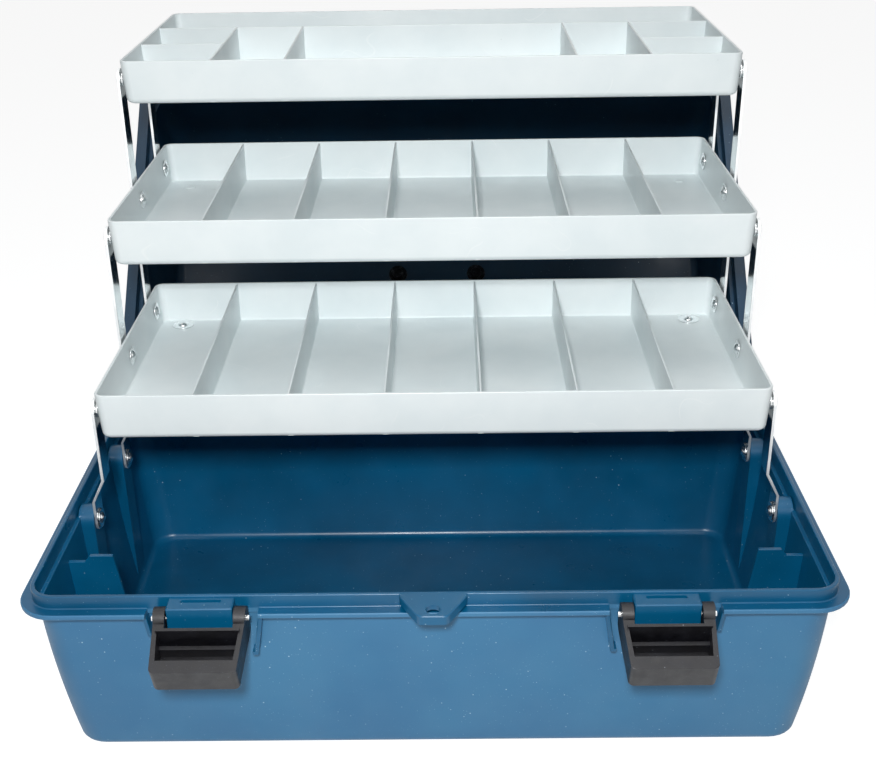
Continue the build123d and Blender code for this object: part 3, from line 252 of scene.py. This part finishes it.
def dress(names, finish, bevel):
    """CAD nodes that stay: their loose triangles are welded, edges softened and the finish laid on."""
    for name in names:
        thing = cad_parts[name]
        thing.data.materials.clear()
        thing.data.materials.append(finish)
        thing.data.shade_smooth()
        weld = thing.modifiers.new("weld", "WELD")
        weld.merge_threshold = 0.002 * MM
        finish_piece(thing, bevel)


# Finishes

def linear(code):
    """Linear colour of an sRGB hex value: ((c + 0.055) / 1.055) to the power 2.4, or c / 12.92 near black."""
    parts = [int(code[i:i + 2], 16) / 255 for i in (1, 3, 5)]
    return [c / 12.92 if c <= 0.04045 else ((c + 0.055) / 1.055) ** 2.4 for c in parts] + [1.0]


def add(tree, kind, inputs=(), **settings):
    """Adds one node, sets its settings, and fills or links its inputs: (socket, value or output) pairs."""
    made = tree.nodes.new(kind)
    for key, value in settings.items():
        setattr(made, key, value)
    for socket, value in inputs:
        if isinstance(value, bpy.types.NodeSocket):
            tree.links.new(value, made.inputs[socket])
        else:
            made.inputs[socket].default_value = value
    return made


def surface(name):
    """A new material with its shader, and the object's own coordinates in metres."""
    made = bpy.data.materials.new(name)
    made.use_nodes = True
    tree = made.node_tree
    place = add(tree, "ShaderNodeTexCoord").outputs["Object"]
    return made, tree, tree.nodes["Principled BSDF"], place


def fade(tree, value, low, high, to_low=0.0, to_high=1.0):
    """The value carried from low..high to to_low..to_high and held there."""
    return add(tree, "ShaderNodeMapRange", [("Value", value), ("From Min", low), ("From Max", high),
                                            ("To Min", to_low), ("To Max", to_high)]).outputs[0]


def blend(tree, share, first, second):
    """Colour between two, by share."""
    made = add(tree, "ShaderNodeMix", [("Factor", share)], data_type="RGBA")
    for socket, value in ((6, first), (7, second)):
        if isinstance(value, bpy.types.NodeSocket):
            tree.links.new(value, made.inputs[socket])
        else:
            made.inputs[socket].default_value = value
    return made.outputs[2]


def product(tree, first, second):
    """Two numbers multiplied."""
    return add(tree, "ShaderNodeMath", [(0, first), (1, second)], operation="MULTIPLY").outputs[0]


def mottle(tree, place, size, detail=3.0, rough=0.55):
    """Soft noise whose patches are about size millimetres across."""
    return add(tree, "ShaderNodeTexNoise", [("Vector", place), ("Scale", 1000 / size), ("Detail", detail),
                                            ("Roughness", rough)]).outputs[0]


def specks(tree, place, spacing, radius, share):
    """1 on round specks: near the middle of some cells of a cell pattern, spacing millimetres apart."""
    cells = add(tree, "ShaderNodeTexVoronoi", [("Vector", place), ("Scale", 1000 / spacing)])
    chosen = add(tree, "ShaderNodeSeparateColor", [("Color", cells.outputs["Color"])]).outputs[0]
    kept = add(tree, "ShaderNodeMath", [(0, chosen), (1, share)], operation="LESS_THAN").outputs[0]
    near = fade(tree, cells.outputs["Distance"], radius / spacing * 0.6, radius / spacing, 1.0, 0.0)
    return product(tree, near, kept)


def hairlines(tree, place, size, width, share):
    """1 along thin wandering lines: where a soft noise crosses its middle value, on part of the surface."""
    level = mottle(tree, place, size, 1.0)
    off = add(tree, "ShaderNodeMath", [(0, level), (1, 0.5)], operation="SUBTRACT").outputs[0]
    off = add(tree, "ShaderNodeMath", [(0, off)], operation="ABSOLUTE").outputs[0]
    line = fade(tree, off, 0.0, width, 1.0, 0.0)
    part = fade(tree, mottle(tree, place, size * 0.7, 2.0), 1 - share - 0.04, 1 - share + 0.04)
    return product(tree, line, part)


def grain(tree, shader, height, depth):
    """Fine relief of the given depth in millimetres."""
    bump = add(tree, "ShaderNodeBump", [("Strength", 1.0), ("Distance", depth * MM), ("Height", height)])
    tree.links.new(bump.outputs[0], shader.inputs["Normal"])


# Polypropylene, injection moulded. Polished faces are an even deep blue with a soft gloss; spark-textured ones
# are drawn in a lighter, greyer blue, which is painted sheen for the pale haze of light that their texture
# scatters. Both carry pale dust, more of it in some places, and a few faint scuffs.
def moulded_polypropylene(name, main, deep, dust_share, gloss, relief):
    made, tree, shader, place = surface(name)
    tone = blend(tree, fade(tree, mottle(tree, place, 70), 0.35, 0.65), linear(deep), linear(main))
    dusty = fade(tree, mottle(tree, place, 60, 2.0), 0.45, 0.6, 0.35, 1.0)
    grains = product(tree, specks(tree, place, 6.0, 0.45, dust_share), dusty)
    tone = blend(tree, grains, tone, linear("#A9C6D8"))
    fine_grains = product(tree, specks(tree, place, 2.4, 0.28, dust_share), product(tree, dusty, 0.6))
    tone = blend(tree, fine_grains, tone, linear("#8FB4CC"))
    scuffs = product(tree, hairlines(tree, place, 60, 0.003, 0.25), 0.10)
    tone = blend(tree, scuffs, tone, linear("#7FA8C2"))
    tree.links.new(tone, shader.inputs["Base Color"])
    sheen = fade(tree, mottle(tree, place, 25), 0.3, 0.7, gloss - 0.05, gloss + 0.08)
    tree.links.new(sheen, shader.inputs["Roughness"])
    shader.inputs["IOR"].default_value = 1.49
    # The real texture is about 0.1 mm; at this size it is drawn at 0.9 mm so that it shows
    grain(tree, shader, mottle(tree, place, 0.9, 2.0), relief)
    return made


# High-impact polystyrene, injection moulded and polished: pale cool grey, satin, with faint cloudy patches on
# the floors from use and a slightly uneven sheen.
def polished_polystyrene(name):
    made, tree, shader, place = surface(name)
    patches = fade(tree, mottle(tree, place, 55, 4.0), 0.35, 0.7)
    tone = blend(tree, patches, linear("#DEE7E9"), linear("#E8EFF0"))
    rub = hairlines(tree, place, 45, 0.006, 0.4)
    tone = blend(tree, product(tree, rub, 0.35), tone, linear("#F2F6F6"))
    dirt = specks(tree, place, 12.0, 0.4, 0.3)
    tone = blend(tree, product(tree, dirt, 0.3), tone, linear("#8E9A9E"))
    tree.links.new(tone, shader.inputs["Base Color"])
    tree.links.new(fade(tree, mottle(tree, place, 18), 0.3, 0.7, 0.30, 0.44), shader.inputs["Roughness"])
    shader.inputs["IOR"].default_value = 1.55
    grain(tree, shader, mottle(tree, place, 14, 2.0), 0.06)
    return made


# Black nylon, injection moulded: near-black and slightly blue, with a fine spark-eroded grain and a thin haze
# of pale grains, painted highlights for the light that the grain scatters, so highlights break up.
def moulded_nylon(name):
    made, tree, shader, place = surface(name)
    patches = fade(tree, mottle(tree, place, 12, 4.0), 0.4, 0.7)
    tone = blend(tree, patches, linear("#08080D"), linear("#101118"))
    # The painted haze's grains are about 0.2 mm, and are drawn at 0.5 mm so that they show
    tone = blend(tree, product(tree, specks(tree, place, 1.1, 0.25, 0.35), 0.25), tone, linear("#5B6470"))
    # Coarser pale specks, also painted highlights of the grain
    tone = blend(tree, product(tree, specks(tree, place, 4.0, 0.35, 0.35), 0.8), tone, linear("#8E939C"))
    tree.links.new(tone, shader.inputs["Base Color"])
    tree.links.new(fade(tree, mottle(tree, place, 6), 0.3, 0.7, 0.38, 0.55), shader.inputs["Roughness"])
    shader.inputs["IOR"].default_value = 1.53
    # Spark-eroded grain of about 0.1 mm, drawn at 0.7 mm so that it shows
    grain(tree, shader, mottle(tree, place, 0.7, 2.0), 0.05)
    return made


# Mild steel with bright zinc plate, punched from strip or headed cold: a smooth cool mirror a little clouded,
# so that it takes the white or the dark of what it faces, with faint rolling marks along the strip.
def zinc_plate(name, marks, gloss, edge_gloss):
    made, tree, shader, place = surface(name)
    clouds = fade(tree, mottle(tree, place, 9, 3.0), 0.35, 0.7)
    tone = blend(tree, clouds, linear("#E2E5E6"), linear("#F1F3F3"))
    tree.links.new(tone, shader.inputs["Base Color"])
    shader.inputs["Metallic"].default_value = 1.0
    # The faces look along X. The sheared edges between them are duller
    normal = add(tree, "ShaderNodeTexCoord").outputs["Normal"]
    along = add(tree, "ShaderNodeSeparateXYZ", [("Vector", normal)]).outputs[0]
    flat = add(tree, "ShaderNodeMath", [(0, along)], operation="ABSOLUTE").outputs[0]
    cloud = fade(tree, mottle(tree, place, 5), 0.3, 0.7, -0.04, 0.05)
    sheen = fade(tree, flat, 0.3, 0.7, edge_gloss, gloss)
    dull = add(tree, "ShaderNodeMath", [(0, sheen), (1, cloud)], operation="ADD")
    tree.links.new(dull.outputs[0], shader.inputs["Roughness"])
    drawn = add(tree, "ShaderNodeMapping", [("Vector", place), ("Scale", (1.0, 1.0, marks))]).outputs[0]
    grain(tree, shader, mottle(tree, drawn, 1.5, 2.0), 0.002)
    return made


# Steel screws and washers drawn near-black as painted shade, for the shade they lie in, with soft highlights
# and lighter spots that are painted glints.
def steel_in_painted_shade(name):
    made, tree, shader, place = surface(name)
    painted_glint_spots = fade(tree, mottle(tree, place, 3, 3.0), 0.55, 0.7)
    tone = blend(tree, painted_glint_spots, linear("#1C1D20"), linear("#4A4C50"))
    tree.links.new(tone, shader.inputs["Base Color"])
    shader.inputs["Metallic"].default_value = 1.0
    tree.links.new(fade(tree, mottle(tree, place, 4), 0.3, 0.7, 0.32, 0.5), shader.inputs["Roughness"])
    return made


blue_textured_painted_sheen, blue_polished, blue_lid_painted_shade = [
    moulded_polypropylene(f"{name} moulded polypropylene", *look) for name, *look in (
        # The textured blue is lighter and greyer as painted sheen for the haze of light that its texture
        # scatters.
        ("textured", "#39749A", "#316B93", 0.8, 0.50, 0.04),
        ("polished", "#015880", "#004C70", 0.5, 0.32, 0.012),
        # The lid's blues are darker than the tub's: painted shade, for the shade the open lid stands in behind
        # the trays.
        ("lid", "#093954", "#062F48", 0.3, 0.40, 0.02))]
pale_tray = polished_polystyrene("tray polished polystyrene")
black_latch = moulded_nylon("latch moulded nylon")
bright_fastener = zinc_plate("fastener zinc plate", 1.0, 0.20, 0.24)
bright_strip = zinc_plate("strip zinc plate", 0.04, 0.14, 0.55)
screw_painted_shade = steel_in_painted_shade("screw steel painted shade")


# Tub

def tub_inset(z):
    """Inset of the outer wall: the parabola through its insets at the ground, at the waist and at the top."""
    t, m = z / FLANGE_LOW, WAIST / FLANGE_LOW
    ground, waist = GROUND_INSET * (t - m) * (t - 1) / m, WAIST_INSET * t * (t - 1) / (m * (m - 1))
    return ground + waist + TOP_INSET * t * (t - m) / (1 - m)


def in_the_wall(z):
    """Inset of the middle of the wall, where what stands inside or behind it is rooted."""
    return tub_inset(z) + TUB_WALL / 2


def wall_rows(low, high, shrink, radius):
    """Profile corners up or down the curved wall, drawn in by shrink."""
    return [(tub_inset(z) + shrink, z, radius, 0) for z in np.linspace(low, high, 9)]


def tub_shell():
    """Profile of the ground, curved wall, flange, lip, ledge, inside wall and floor, carried round the box. At
    the latches the flange rows are drawn in to the lip. The textured part ends at the flange's top edge."""
    lip_out_radius, lip_in_radius = FLANGE_RADIUS - LIP_OUT, FLANGE_RADIUS - LIP_IN
    shell = [(40, 0, 3, 0), (GROUND_INSET, 0, TUB_RADIUS, GROUND_ROUNDING)]
    shell += wall_rows(14, FLANGE_LOW - 1, 0, TUB_RADIUS)
    shell += [(TOP_INSET, FLANGE_LOW, TUB_RADIUS, 0.6), (0.0, FLANGE_LOW, FLANGE_RADIUS, 0.7),
              (0.0, FLANGE_TOP, FLANGE_RADIUS, 0.9), (LIP_OUT, FLANGE_TOP, lip_out_radius, 0.8),
              (LIP_OUT, LIP_TOP, lip_out_radius, 0.7), (LIP_IN, LIP_TOP, lip_in_radius, 0.7),
              (LIP_IN, LEDGE, lip_in_radius, 0.3), (TOP_INSET + TUB_WALL, LEDGE, TUB_INNER_RADIUS, 0.6)]
    shell += wall_rows(FLANGE_LOW - 0.5, 14, TUB_WALL, TUB_INNER_RADIUS)
    shell += [(GROUND_INSET + TUB_WALL, TUB_FLOOR, TUB_INNER_RADIUS, FLOOR_ROUNDING), (44, TUB_FLOOR, 3, 0)]
    marks = [side * LATCH_X + end * NOTCH_HALF + gap
             for side in (-1, 1) for end in (-1, 1) for gap in (-0.15, 0.15)]
    x, y, z = inset_shell(turn_corners(shell), WIDTH, DEPTH, 0, marks)
    notch = (np.abs(np.abs(x) - LATCH_X) < NOTCH_HALF) & (y < FRONT + LIP_OUT) & (z > FLANGE_LOW - 0.7)
    # The outside, up to the flange's top edge, takes the textured blue with its painted sheen.
    outside = np.argmax(z[:, 0] > FLANGE_TOP - 0.05) * x.shape[1]
    return skin(x, np.where(notch, FRONT + LIP_OUT, y), z), (blue_textured_painted_sheen, 0, int(outside))


def web(side):
    """Stepped web across a front corner: its outer edge follows the middle of the wall."""
    z = np.linspace(ROOT, WEB_SIDE_TOP, 9)
    outer = list(zip(side * (WIDTH / 2 - in_the_wall(z)), z))
    top = [(208.5, WEB_SIDE_TOP), (205.4, WEB_TOP), (191.6, WEB_TOP), (178.6, ROOT)]
    return prism(outer + [(side * x, height) for x, height in top], "y", WEB_FRONT, WEB_REAR)


def column(side, y):
    """Pivot column: a half-round head on two straight sides, from its flat face out to the wall's middle."""
    angle = np.linspace(0, math.pi, 13)
    sides = np.linspace(PIVOT_Z - 2, ROOT, 8)
    ring_y = np.concatenate([COLUMN_HALF * np.cos(angle), -COLUMN_HALF + 0 * sides, [COLUMN_HALF]]) + y
    ring_z = np.concatenate([PIVOT_Z + COLUMN_HALF * np.sin(angle), sides, [ROOT]])
    wall = WIDTH / 2 - in_the_wall(np.minimum(ring_z, FLANGE_LOW))
    x = np.array([COLUMN_FACE + 0 * wall, wall])
    points, faces = skin(x, np.tile(ring_y, (2, 1)), np.tile(ring_z, (2, 1)))
    points[:, 0] *= side
    return points, faces if side > 0 else [face[::-1] for face in faces]


def latch_lug(side):
    """Block that holds a latch pin: rounded rectangles up it, in over its top and down into the slot."""
    outer, slot = np.array([1, 1, 1, 1, 0, 0, 0, 0]), np.array([0, 0, 0, 0, 1, 1, 1, 1])
    half = BLOCK_HALF * outer + SLOT_HALF * slot + np.array([0, 0, 0, -0.7, 0.2, 0, 0, 0])
    front = FRONT + BLOCK_FRONT * outer + SLOT_FRONT * slot + np.array([0, 0, 0, 0.6, -0.1, 0, 0, 0])
    rear = FRONT + BLOCK_REAR * outer + SLOT_REAR * slot + np.array([0, 0, 0, -0.6, 0.1, 0, 0, 0])
    height = np.array([BLOCK_LOW, BLOCK_LOW + 0.5, BLOCK_TOP - 0.6, BLOCK_TOP,
                       BLOCK_TOP, BLOCK_TOP - 0.2, SLOT_FLOOR + 0.6, SLOT_FLOOR])
    radius = np.array([0.8, 1.0, 1.0, 0.6, 0.4, 0.4, 0.4, 0.4])
    x, y = rounded_rings(side * LATCH_X - half, side * LATCH_X + half, front, rear, radius, (), 3)
    return skin(x, y, height[:, None] + 0 * x)


def turned_down_rib(side, end):
    """Turned-down end of the flange beside a latch: a strip that leans in towards the latch, and a foot on
    the longer, inner ones."""
    drop = RIB_LONG if end == -side else RIB_SHORT
    low, toe = FLANGE_LOW - drop, NOTCH_HALF - RIB_LEAN * drop / RIB_LONG
    outline = [(NOTCH_HALF, LEDGE), (NOTCH_HALF + RIB_WIDTH, LEDGE), (toe + RIB_WIDTH, low)]
    if end == -side:
        foot_top = low + RIB_FOOT_HEIGHT
        outline += [(toe - RIB_FOOT, low), (toe - RIB_FOOT, foot_top), (toe + 0.35, foot_top)]
    else:
        outline += [(toe, low)]
    return prism([(side * LATCH_X + end * x, z) for x, z in outline], "y", FRONT + 2.2, FRONT + 11.4)


def hinge_barrel(low, high):
    """Barrel on the hinge line from low to high, with rounded ends."""
    end, soft = BARREL_RADIUS - BARREL_ROUNDING, BARREL_ROUNDING
    profile = [(low, end), (low + soft, BARREL_RADIUS), (high - soft, BARREL_RADIUS), (high, end)]
    return turned(profile, "x", (0, HINGE_Y, HINGE_Z))


def buttress(side, end):
    """Straight plate from the ground to the flange behind the wall, and a hinge barrel with its gusset."""
    start = side * HINGE_X + end * TUB_BARREL_START
    z = np.linspace(ROOT, FLANGE_LOW - 0.5, 9)
    wall = list(zip(REAR - in_the_wall(z), z))
    toe = [(REAR - 5.0, 0.0), (REAR - 2.9, 0.9), (REAR - 2.0, 3.0), (REAR - 2.0, LEDGE)]
    plate = prism([(REAR - 26, 0.0)] + toe + wall[::-1], "x", *sorted((start, start + end * BUTTRESS)))
    low, high = sorted((start, start + end * TUB_BARREL))
    gusset = prism([(HINGE_Y, HINGE_Z - BARREL_RADIUS), (HINGE_Y, HINGE_Z), (REAR - 3, 106.4),
                    (REAR - 9.7, 104.0), (REAR - 8.2, 93.1)], "x", low, high)
    return joined(plate, gusset, hinge_barrel(low, high))


TAB = [(20, FRONT + 7.75), (-20, FRONT + 7.75), (-20, FRONT + 3.25), (-9.6, FRONT - 11.0),
       (-8.6, FRONT - 12.8), (-6.6, FRONT - 14), (6.6, FRONT - 14), (8.6, FRONT - 12.8), (9.6, FRONT - 11.0),
       (20, FRONT + 3.25)]
HOLE = (0.0, FRONT - 7.7)
tab_under = LIP_TOP - TAB_THICKNESS
padlock_tab = drilled_plate(TAB, HOLE, HOLE_RADIUS, [
    (None, tab_under), (None, LIP_TOP - 0.3), (None, LIP_TOP), (0.5, LIP_TOP), (0.0, LIP_TOP - 0.5),
    (0.0, TAB_LOW), (TAB_SKIRT, TAB_LOW), (TAB_SKIRT, tab_under)])

tub_mesh, tub_outside = tub_shell()
piece("tub_body", "base", blue_polished, tub_mesh, ("base_tub",), other=tub_outside)
piece("tub_ribs", "base", blue_polished, joined(
    both_sides(web), *[turned_down_rib(side, end) for side in (-1, 1) for end in (-1, 1)],
    *[buttress(side, end) for side in (-1, 1) for end in (-1, 1)]), bevel=0.5)
piece("tub_bosses", "base", blue_polished, joined(
    *[column(side, y) for side in (-1, 1) for y in COLUMN_PLACES]), bevel=0.6)
piece("tub_latch_blocks", "base", blue_polished, both_sides(latch_lug))
piece("tub_padlock_tab", "base", blue_polished, padlock_tab)


# Lid

def lid_shell():
    """Profile of the inside top, wall, step, pocket, flange, band, wall and outside top, carried round. Rows
    in the front edge are raised over the tab and the latch blocks and drawn in at the latches."""
    rows = [(50, LID_IN, 4, 0), (12.9, LID_IN, 16.1, 7.1), (8.3, LID_POCKET_TOP, 16.1, 0.5),
            (5.3, LID_POCKET_TOP, LID_RADIUS, 0.3), (5.3, LID_LOW, LID_RADIUS, 0.4),
            (LID_OVERHANG, LID_LOW, FLANGE_RADIUS, 0.9), (LID_OVERHANG, LID_FLANGE_TOP, FLANGE_RADIUS, 0.9),
            (LID_BAND, LID_FLANGE_TOP, 19.9, 0.8), (LID_BAND, LID_BAND_TOP, 19.9, 0.9),
            (6.9, LID_BAND_TOP, LID_RADIUS, 0.9), (11.0, LID_OUT, LID_RADIUS, 9.0), (52, LID_OUT, 4, 0)]
    places = [OVER_TAB] + [LATCH_X + half for half in (-NOTCH_HALF, -OVER_BLOCK, OVER_BLOCK, NOTCH_HALF)]
    marks = [side * place + gap for side in (-1, 1) for place in places for gap in (-0.15, 0.15)]
    x, y, z = inset_shell(turn_corners(rows), WIDTH, DEPTH, 0, marks, 0.0)
    near = y < FRONT + 12
    beside = np.abs(np.abs(x) - LATCH_X)
    tab, block = near & (np.abs(x) < OVER_TAB), near & (beside < OVER_BLOCK)
    latch = near & (beside < NOTCH_HALF)
    z = np.where(tab, np.maximum(z, OVER_TAB_Z), np.where(block, np.maximum(z, OVER_BLOCK_Z), z))
    y = np.where(tab | block | latch, np.maximum(y, FRONT + LID_BAND), y)
    return skin(x, y, z)


def catch(side):
    """Ledge that a latch hooks over."""
    return prism([(FRONT + 8, 122.8), (FRONT + 8, 132.8), (FRONT - 5, 132.8), (FRONT - 5, 127.8)], "x",
                 side * LATCH_X - CATCH_HALF, side * LATCH_X + CATCH_HALF)


def lid_barrel(side):
    """Hinge barrel of the lid with its gusset."""
    low, high = side * HINGE_X - LID_BARREL_HALF, side * HINGE_X + LID_BARREL_HALF
    gusset = prism([(HINGE_Y, HINGE_Z + 0.3), (HINGE_Y, HINGE_Z + BARREL_RADIUS),
                    (REAR - 7.35, HINGE_Z + 2 * BARREL_RADIUS), (REAR - 7.35, HINGE_Z + 0.3)], "x", low, high)
    return joined(gusset, hinge_barrel(low, high))


tab_top = OVER_TAB_Z + TAB_THICKNESS
lid_tab = drilled_plate(TAB, HOLE, HOLE_RADIUS, [
    (None, OVER_TAB_Z), (None, tab_top), (0.5, tab_top), (0, tab_top - 0.5), (0, OVER_TAB_Z + 0.5),
    (0.5, OVER_TAB_Z)])
# The lid takes the darker blue, which is painted shade.
piece("lid_body", "lid", blue_lid_painted_shade, laid_open(lid_shell()), ("lid_shell",))
piece("lid_catches", "lid", blue_lid_painted_shade, laid_open(joined(both_sides(catch), both_sides(lid_barrel))), bevel=0.6)
piece("lid_padlock_tab", "lid", blue_lid_painted_shade, laid_open(lid_tab))


# Trays

def tray_shell(front, rim, height):
    """Profile of the underside, tapered wall, rounded rim, inside wall and floor, carried round the tray."""
    low = rim - height
    floor_inset = TRAY_WALL + TAPER * (height - TRAY_FLOOR) / height
    rows = [(9, low, 2, 0), (TAPER, low, TRAY_RADIUS, 4.0), (0, rim, TRAY_RADIUS, RIM_ROUNDING),
            (TRAY_WALL, rim, TRAY_INNER_RADIUS, RIM_ROUNDING),
            (floor_inset, low + TRAY_FLOOR, TRAY_INNER_RADIUS, 1.2), (11, low + TRAY_FLOOR, 2, 0)]
    return skin(*inset_shell(turn_corners(rows, 5), TRAY_WIDTH, TRAY_DEPTH, front + TRAY_DEPTH / 2))


def divider(axis, across, start, end, rim, height, lean_start=True, lean_end=True):
    """Wall with a rounded top and a fillet at its foot, carried from start to end. Where an end meets the
    tray's wall, it leans with it: its place moves in by taper times depth under the rim divided by height."""
    floor, top = rim - height + TRAY_FLOOR, rim - DIVIDER_DROP
    turn = np.linspace(0, math.pi / 2, 5)
    half_out = np.concatenate([[FOOT_HALF], FOOT_HALF - FOOT_FILLET * np.sin(turn),
                               DIVIDER_HALF - RIM_ROUNDING + RIM_ROUNDING * np.cos(turn)])
    half_up = np.concatenate([[floor - 0.6], floor + FOOT_FILLET - FOOT_FILLET * np.cos(turn),
                              top - RIM_ROUNDING + RIM_ROUNDING * np.sin(turn)])
    offset = np.concatenate([half_out, -half_out[::-1]])
    up = np.concatenate([half_up, half_up[::-1]])
    lean = TAPER * (rim - up) / height
    first, last = start + lean * lean_start, end - lean * lean_end
    if axis == "y":
        points, faces = skin(np.array([across + offset] * 2), np.array([first, last]), np.array([up] * 2))
        return points, [face[::-1] for face in faces]
    return skin(np.array([first, last]), np.array([across + offset] * 2), np.array([up] * 2))


pitch = (TRAY_WIDTH - 2 * TRAY_WALL) / CELLS
for name, front, rim, height in TRAYS:
    sunk = TRAY_WALL / 2
    near, far, side_x = front + sunk, front + TRAY_DEPTH - sunk, TRAY_WIDTH / 2 - sunk
    if name == "top":
        row = front + TRAY_DEPTH - TOP_ROW
        walls = [divider("x", row, -side_x, side_x, rim, height)]
        walls += [divider("y", side * place, near, row, rim, height, True, False)
                  for side in (-1, 1) for place in (TOP_INNER, TOP_OUTER)]
        walls += [divider("x", front + TOP_CROSS, -side_x, -TOP_OUTER, rim, height, True, False),
                  divider("x", front + TOP_CROSS, TOP_OUTER, side_x, rim, height, False, True)]
    else:
        walls = [divider("y", (number - CELLS / 2) * pitch, near, far, rim, height)
                 for number in range(1, CELLS)]
    if name == "middle":
        pip_y, floor_z = front + TRAY_DEPTH - PIP_REAR, rim - height + TRAY_FLOOR
        walls += [turned(PIP_PROFILE, "z", (side * PIP_SIDE, pip_y, floor_z)) for side in (-1, 1)]
    piece(f"{name}_tray_shell", f"{name}_tray", pale_tray, tray_shell(front, rim, height), (f"{name}_tray",))
    piece(f"{name}_tray_dividers", f"{name}_tray", pale_tray, joined(*walls))


# Steel, latches and handle stay as the frame has them
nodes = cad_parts
dress([n for n in nodes if "_arm_" in n], bright_strip, 0.2)
# The handle's screws and washers take the near-black steel: painted shade, with painted glints.
screws_in_painted_shade = ["handle_screws", "handle_screw_washers"]
dress([n for n in nodes if n.endswith(("rivets", "washers", "spacers", "pins")) and n not in screws_in_painted_shade],
      bright_fastener, 0.15)
dress(screws_in_painted_shade, screw_painted_shade, 0.15)
dress(["latch_left", "latch_right", "handle_grip", "handle_brackets"], black_latch, 0.6)


# Stage: pale floor and white surroundings for what the camera and the gloss see
AMBIENT = 0.07
FLOOR_DROP = 0.0005

def seen_directly(tree):
    """1 for rays from the camera, off gloss or through glass, else 0."""
    seen = add(tree, "ShaderNodeLightPath").outputs
    direct = seen["Is Camera Ray"]
    for kind in ("Is Glossy Ray", "Is Transmission Ray"):
        direct = add(tree, "ShaderNodeMath", [(0, direct), (1, seen[kind])], operation="MAXIMUM").outputs[0]
    return direct


floor_data = bpy.data.meshes.new("floor")
floor_corners = [(x, y, -FLOOR_DROP) for x, y in ((-4, -4), (4, -4), (4, 6), (-4, 6))]
floor_data.from_pydata(floor_corners, [], [(0, 1, 2, 3)])
floor = bpy.data.objects.new("floor", floor_data)
bpy.context.scene.collection.objects.link(floor)
floor_paint = bpy.data.materials.new("pale floor")
floor_paint.use_nodes = True
tree = floor_paint.node_tree
tree.nodes.remove(tree.nodes["Principled BSDF"])
matt = add(tree, "ShaderNodeBsdfDiffuse", [("Color", linear("#E4E6E6"))])
lit = add(tree, "ShaderNodeEmission", [("Color", linear("#FFFFFF")), ("Strength", 0.90)])
shown = add(tree, "ShaderNodeBsdfDiffuse", [("Color", linear("#9A9C9D"))])
both = add(tree, "ShaderNodeAddShader", [(0, shown.outputs[0]), (1, lit.outputs[0])])
mixed = add(tree, "ShaderNodeMixShader", [
    (0, seen_directly(tree)), (1, matt.outputs[0]), (2, both.outputs[0])])
tree.links.new(mixed.outputs[0], tree.nodes["Material Output"].inputs["Surface"])
floor_data.materials.append(floor_paint)

world = bpy.data.worlds.new("studio")
bpy.context.scene.world = world
world.use_nodes = True
tree = world.node_tree
strength = fade(tree, seen_directly(tree), 0.0, 1.0, AMBIENT, 1.0)
tree.links.new(strength, tree.nodes["Background"].inputs["Strength"])
tree.nodes["Background"].inputs["Color"].default_value = (1, 1, 1, 1)


def softbox(name, place, aim, size, power):
    """Square lamp at a place, turned to face the aim."""
    data = bpy.data.lights.new(name, "AREA")
    data.size, data.energy = size, power
    lamp = bpy.data.objects.new(name, data)
    back = np.array(place, float) - np.array(aim, float)
    back /= np.linalg.norm(back)
    right = np.cross((0, 0, 1.0), back)
    right /= np.linalg.norm(right)
    up = np.cross(back, right)
    lamp.matrix_world = Matrix([[right[i], up[i], back[i], place[i]] for i in range(3)] + [[0, 0, 0, 1]])
    bpy.context.scene.collection.objects.link(lamp)


softbox("key", (-0.03, -0.76, 0.66), (0, 0.08, 0.17), 0.09, 7.5)
softbox("top", (0.05, -0.1, 1.7), (0, 0.1, 0.15), 1.0, 6.0)

# Camera: a pinhole fitted to the photograph
SPOT, LENS, SENSOR = (0.0112, -0.6806, 0.5131), 51.3, 36.0
PITCH_DOWN, YAW, ROLL = math.radians(25.77), math.radians(-0.69), math.radians(-0.94)
across = math.cos(PITCH_DOWN)
forward = np.array([math.sin(YAW) * across, math.cos(YAW) * across, -math.sin(PITCH_DOWN)])
level = np.array([math.cos(YAW), -math.sin(YAW), 0.0])
upright = np.cross(level, forward)
right = math.cos(ROLL) * level + math.sin(ROLL) * upright
up = -math.sin(ROLL) * level + math.cos(ROLL) * upright
camera = bpy.data.objects.new("camera", bpy.data.cameras.new("camera"))
camera.data.sensor_width, camera.data.lens = SENSOR, LENS
camera.data.clip_start, camera.data.clip_end = 0.01, 50
camera.matrix_world = Matrix([[right[i], up[i], -forward[i], SPOT[i]] for i in range(3)] + [[0, 0, 0, 1]])
bpy.context.scene.collection.objects.link(camera)
bpy.context.scene.camera = camera
bpy.context.scene.view_settings.view_transform = "Standard"
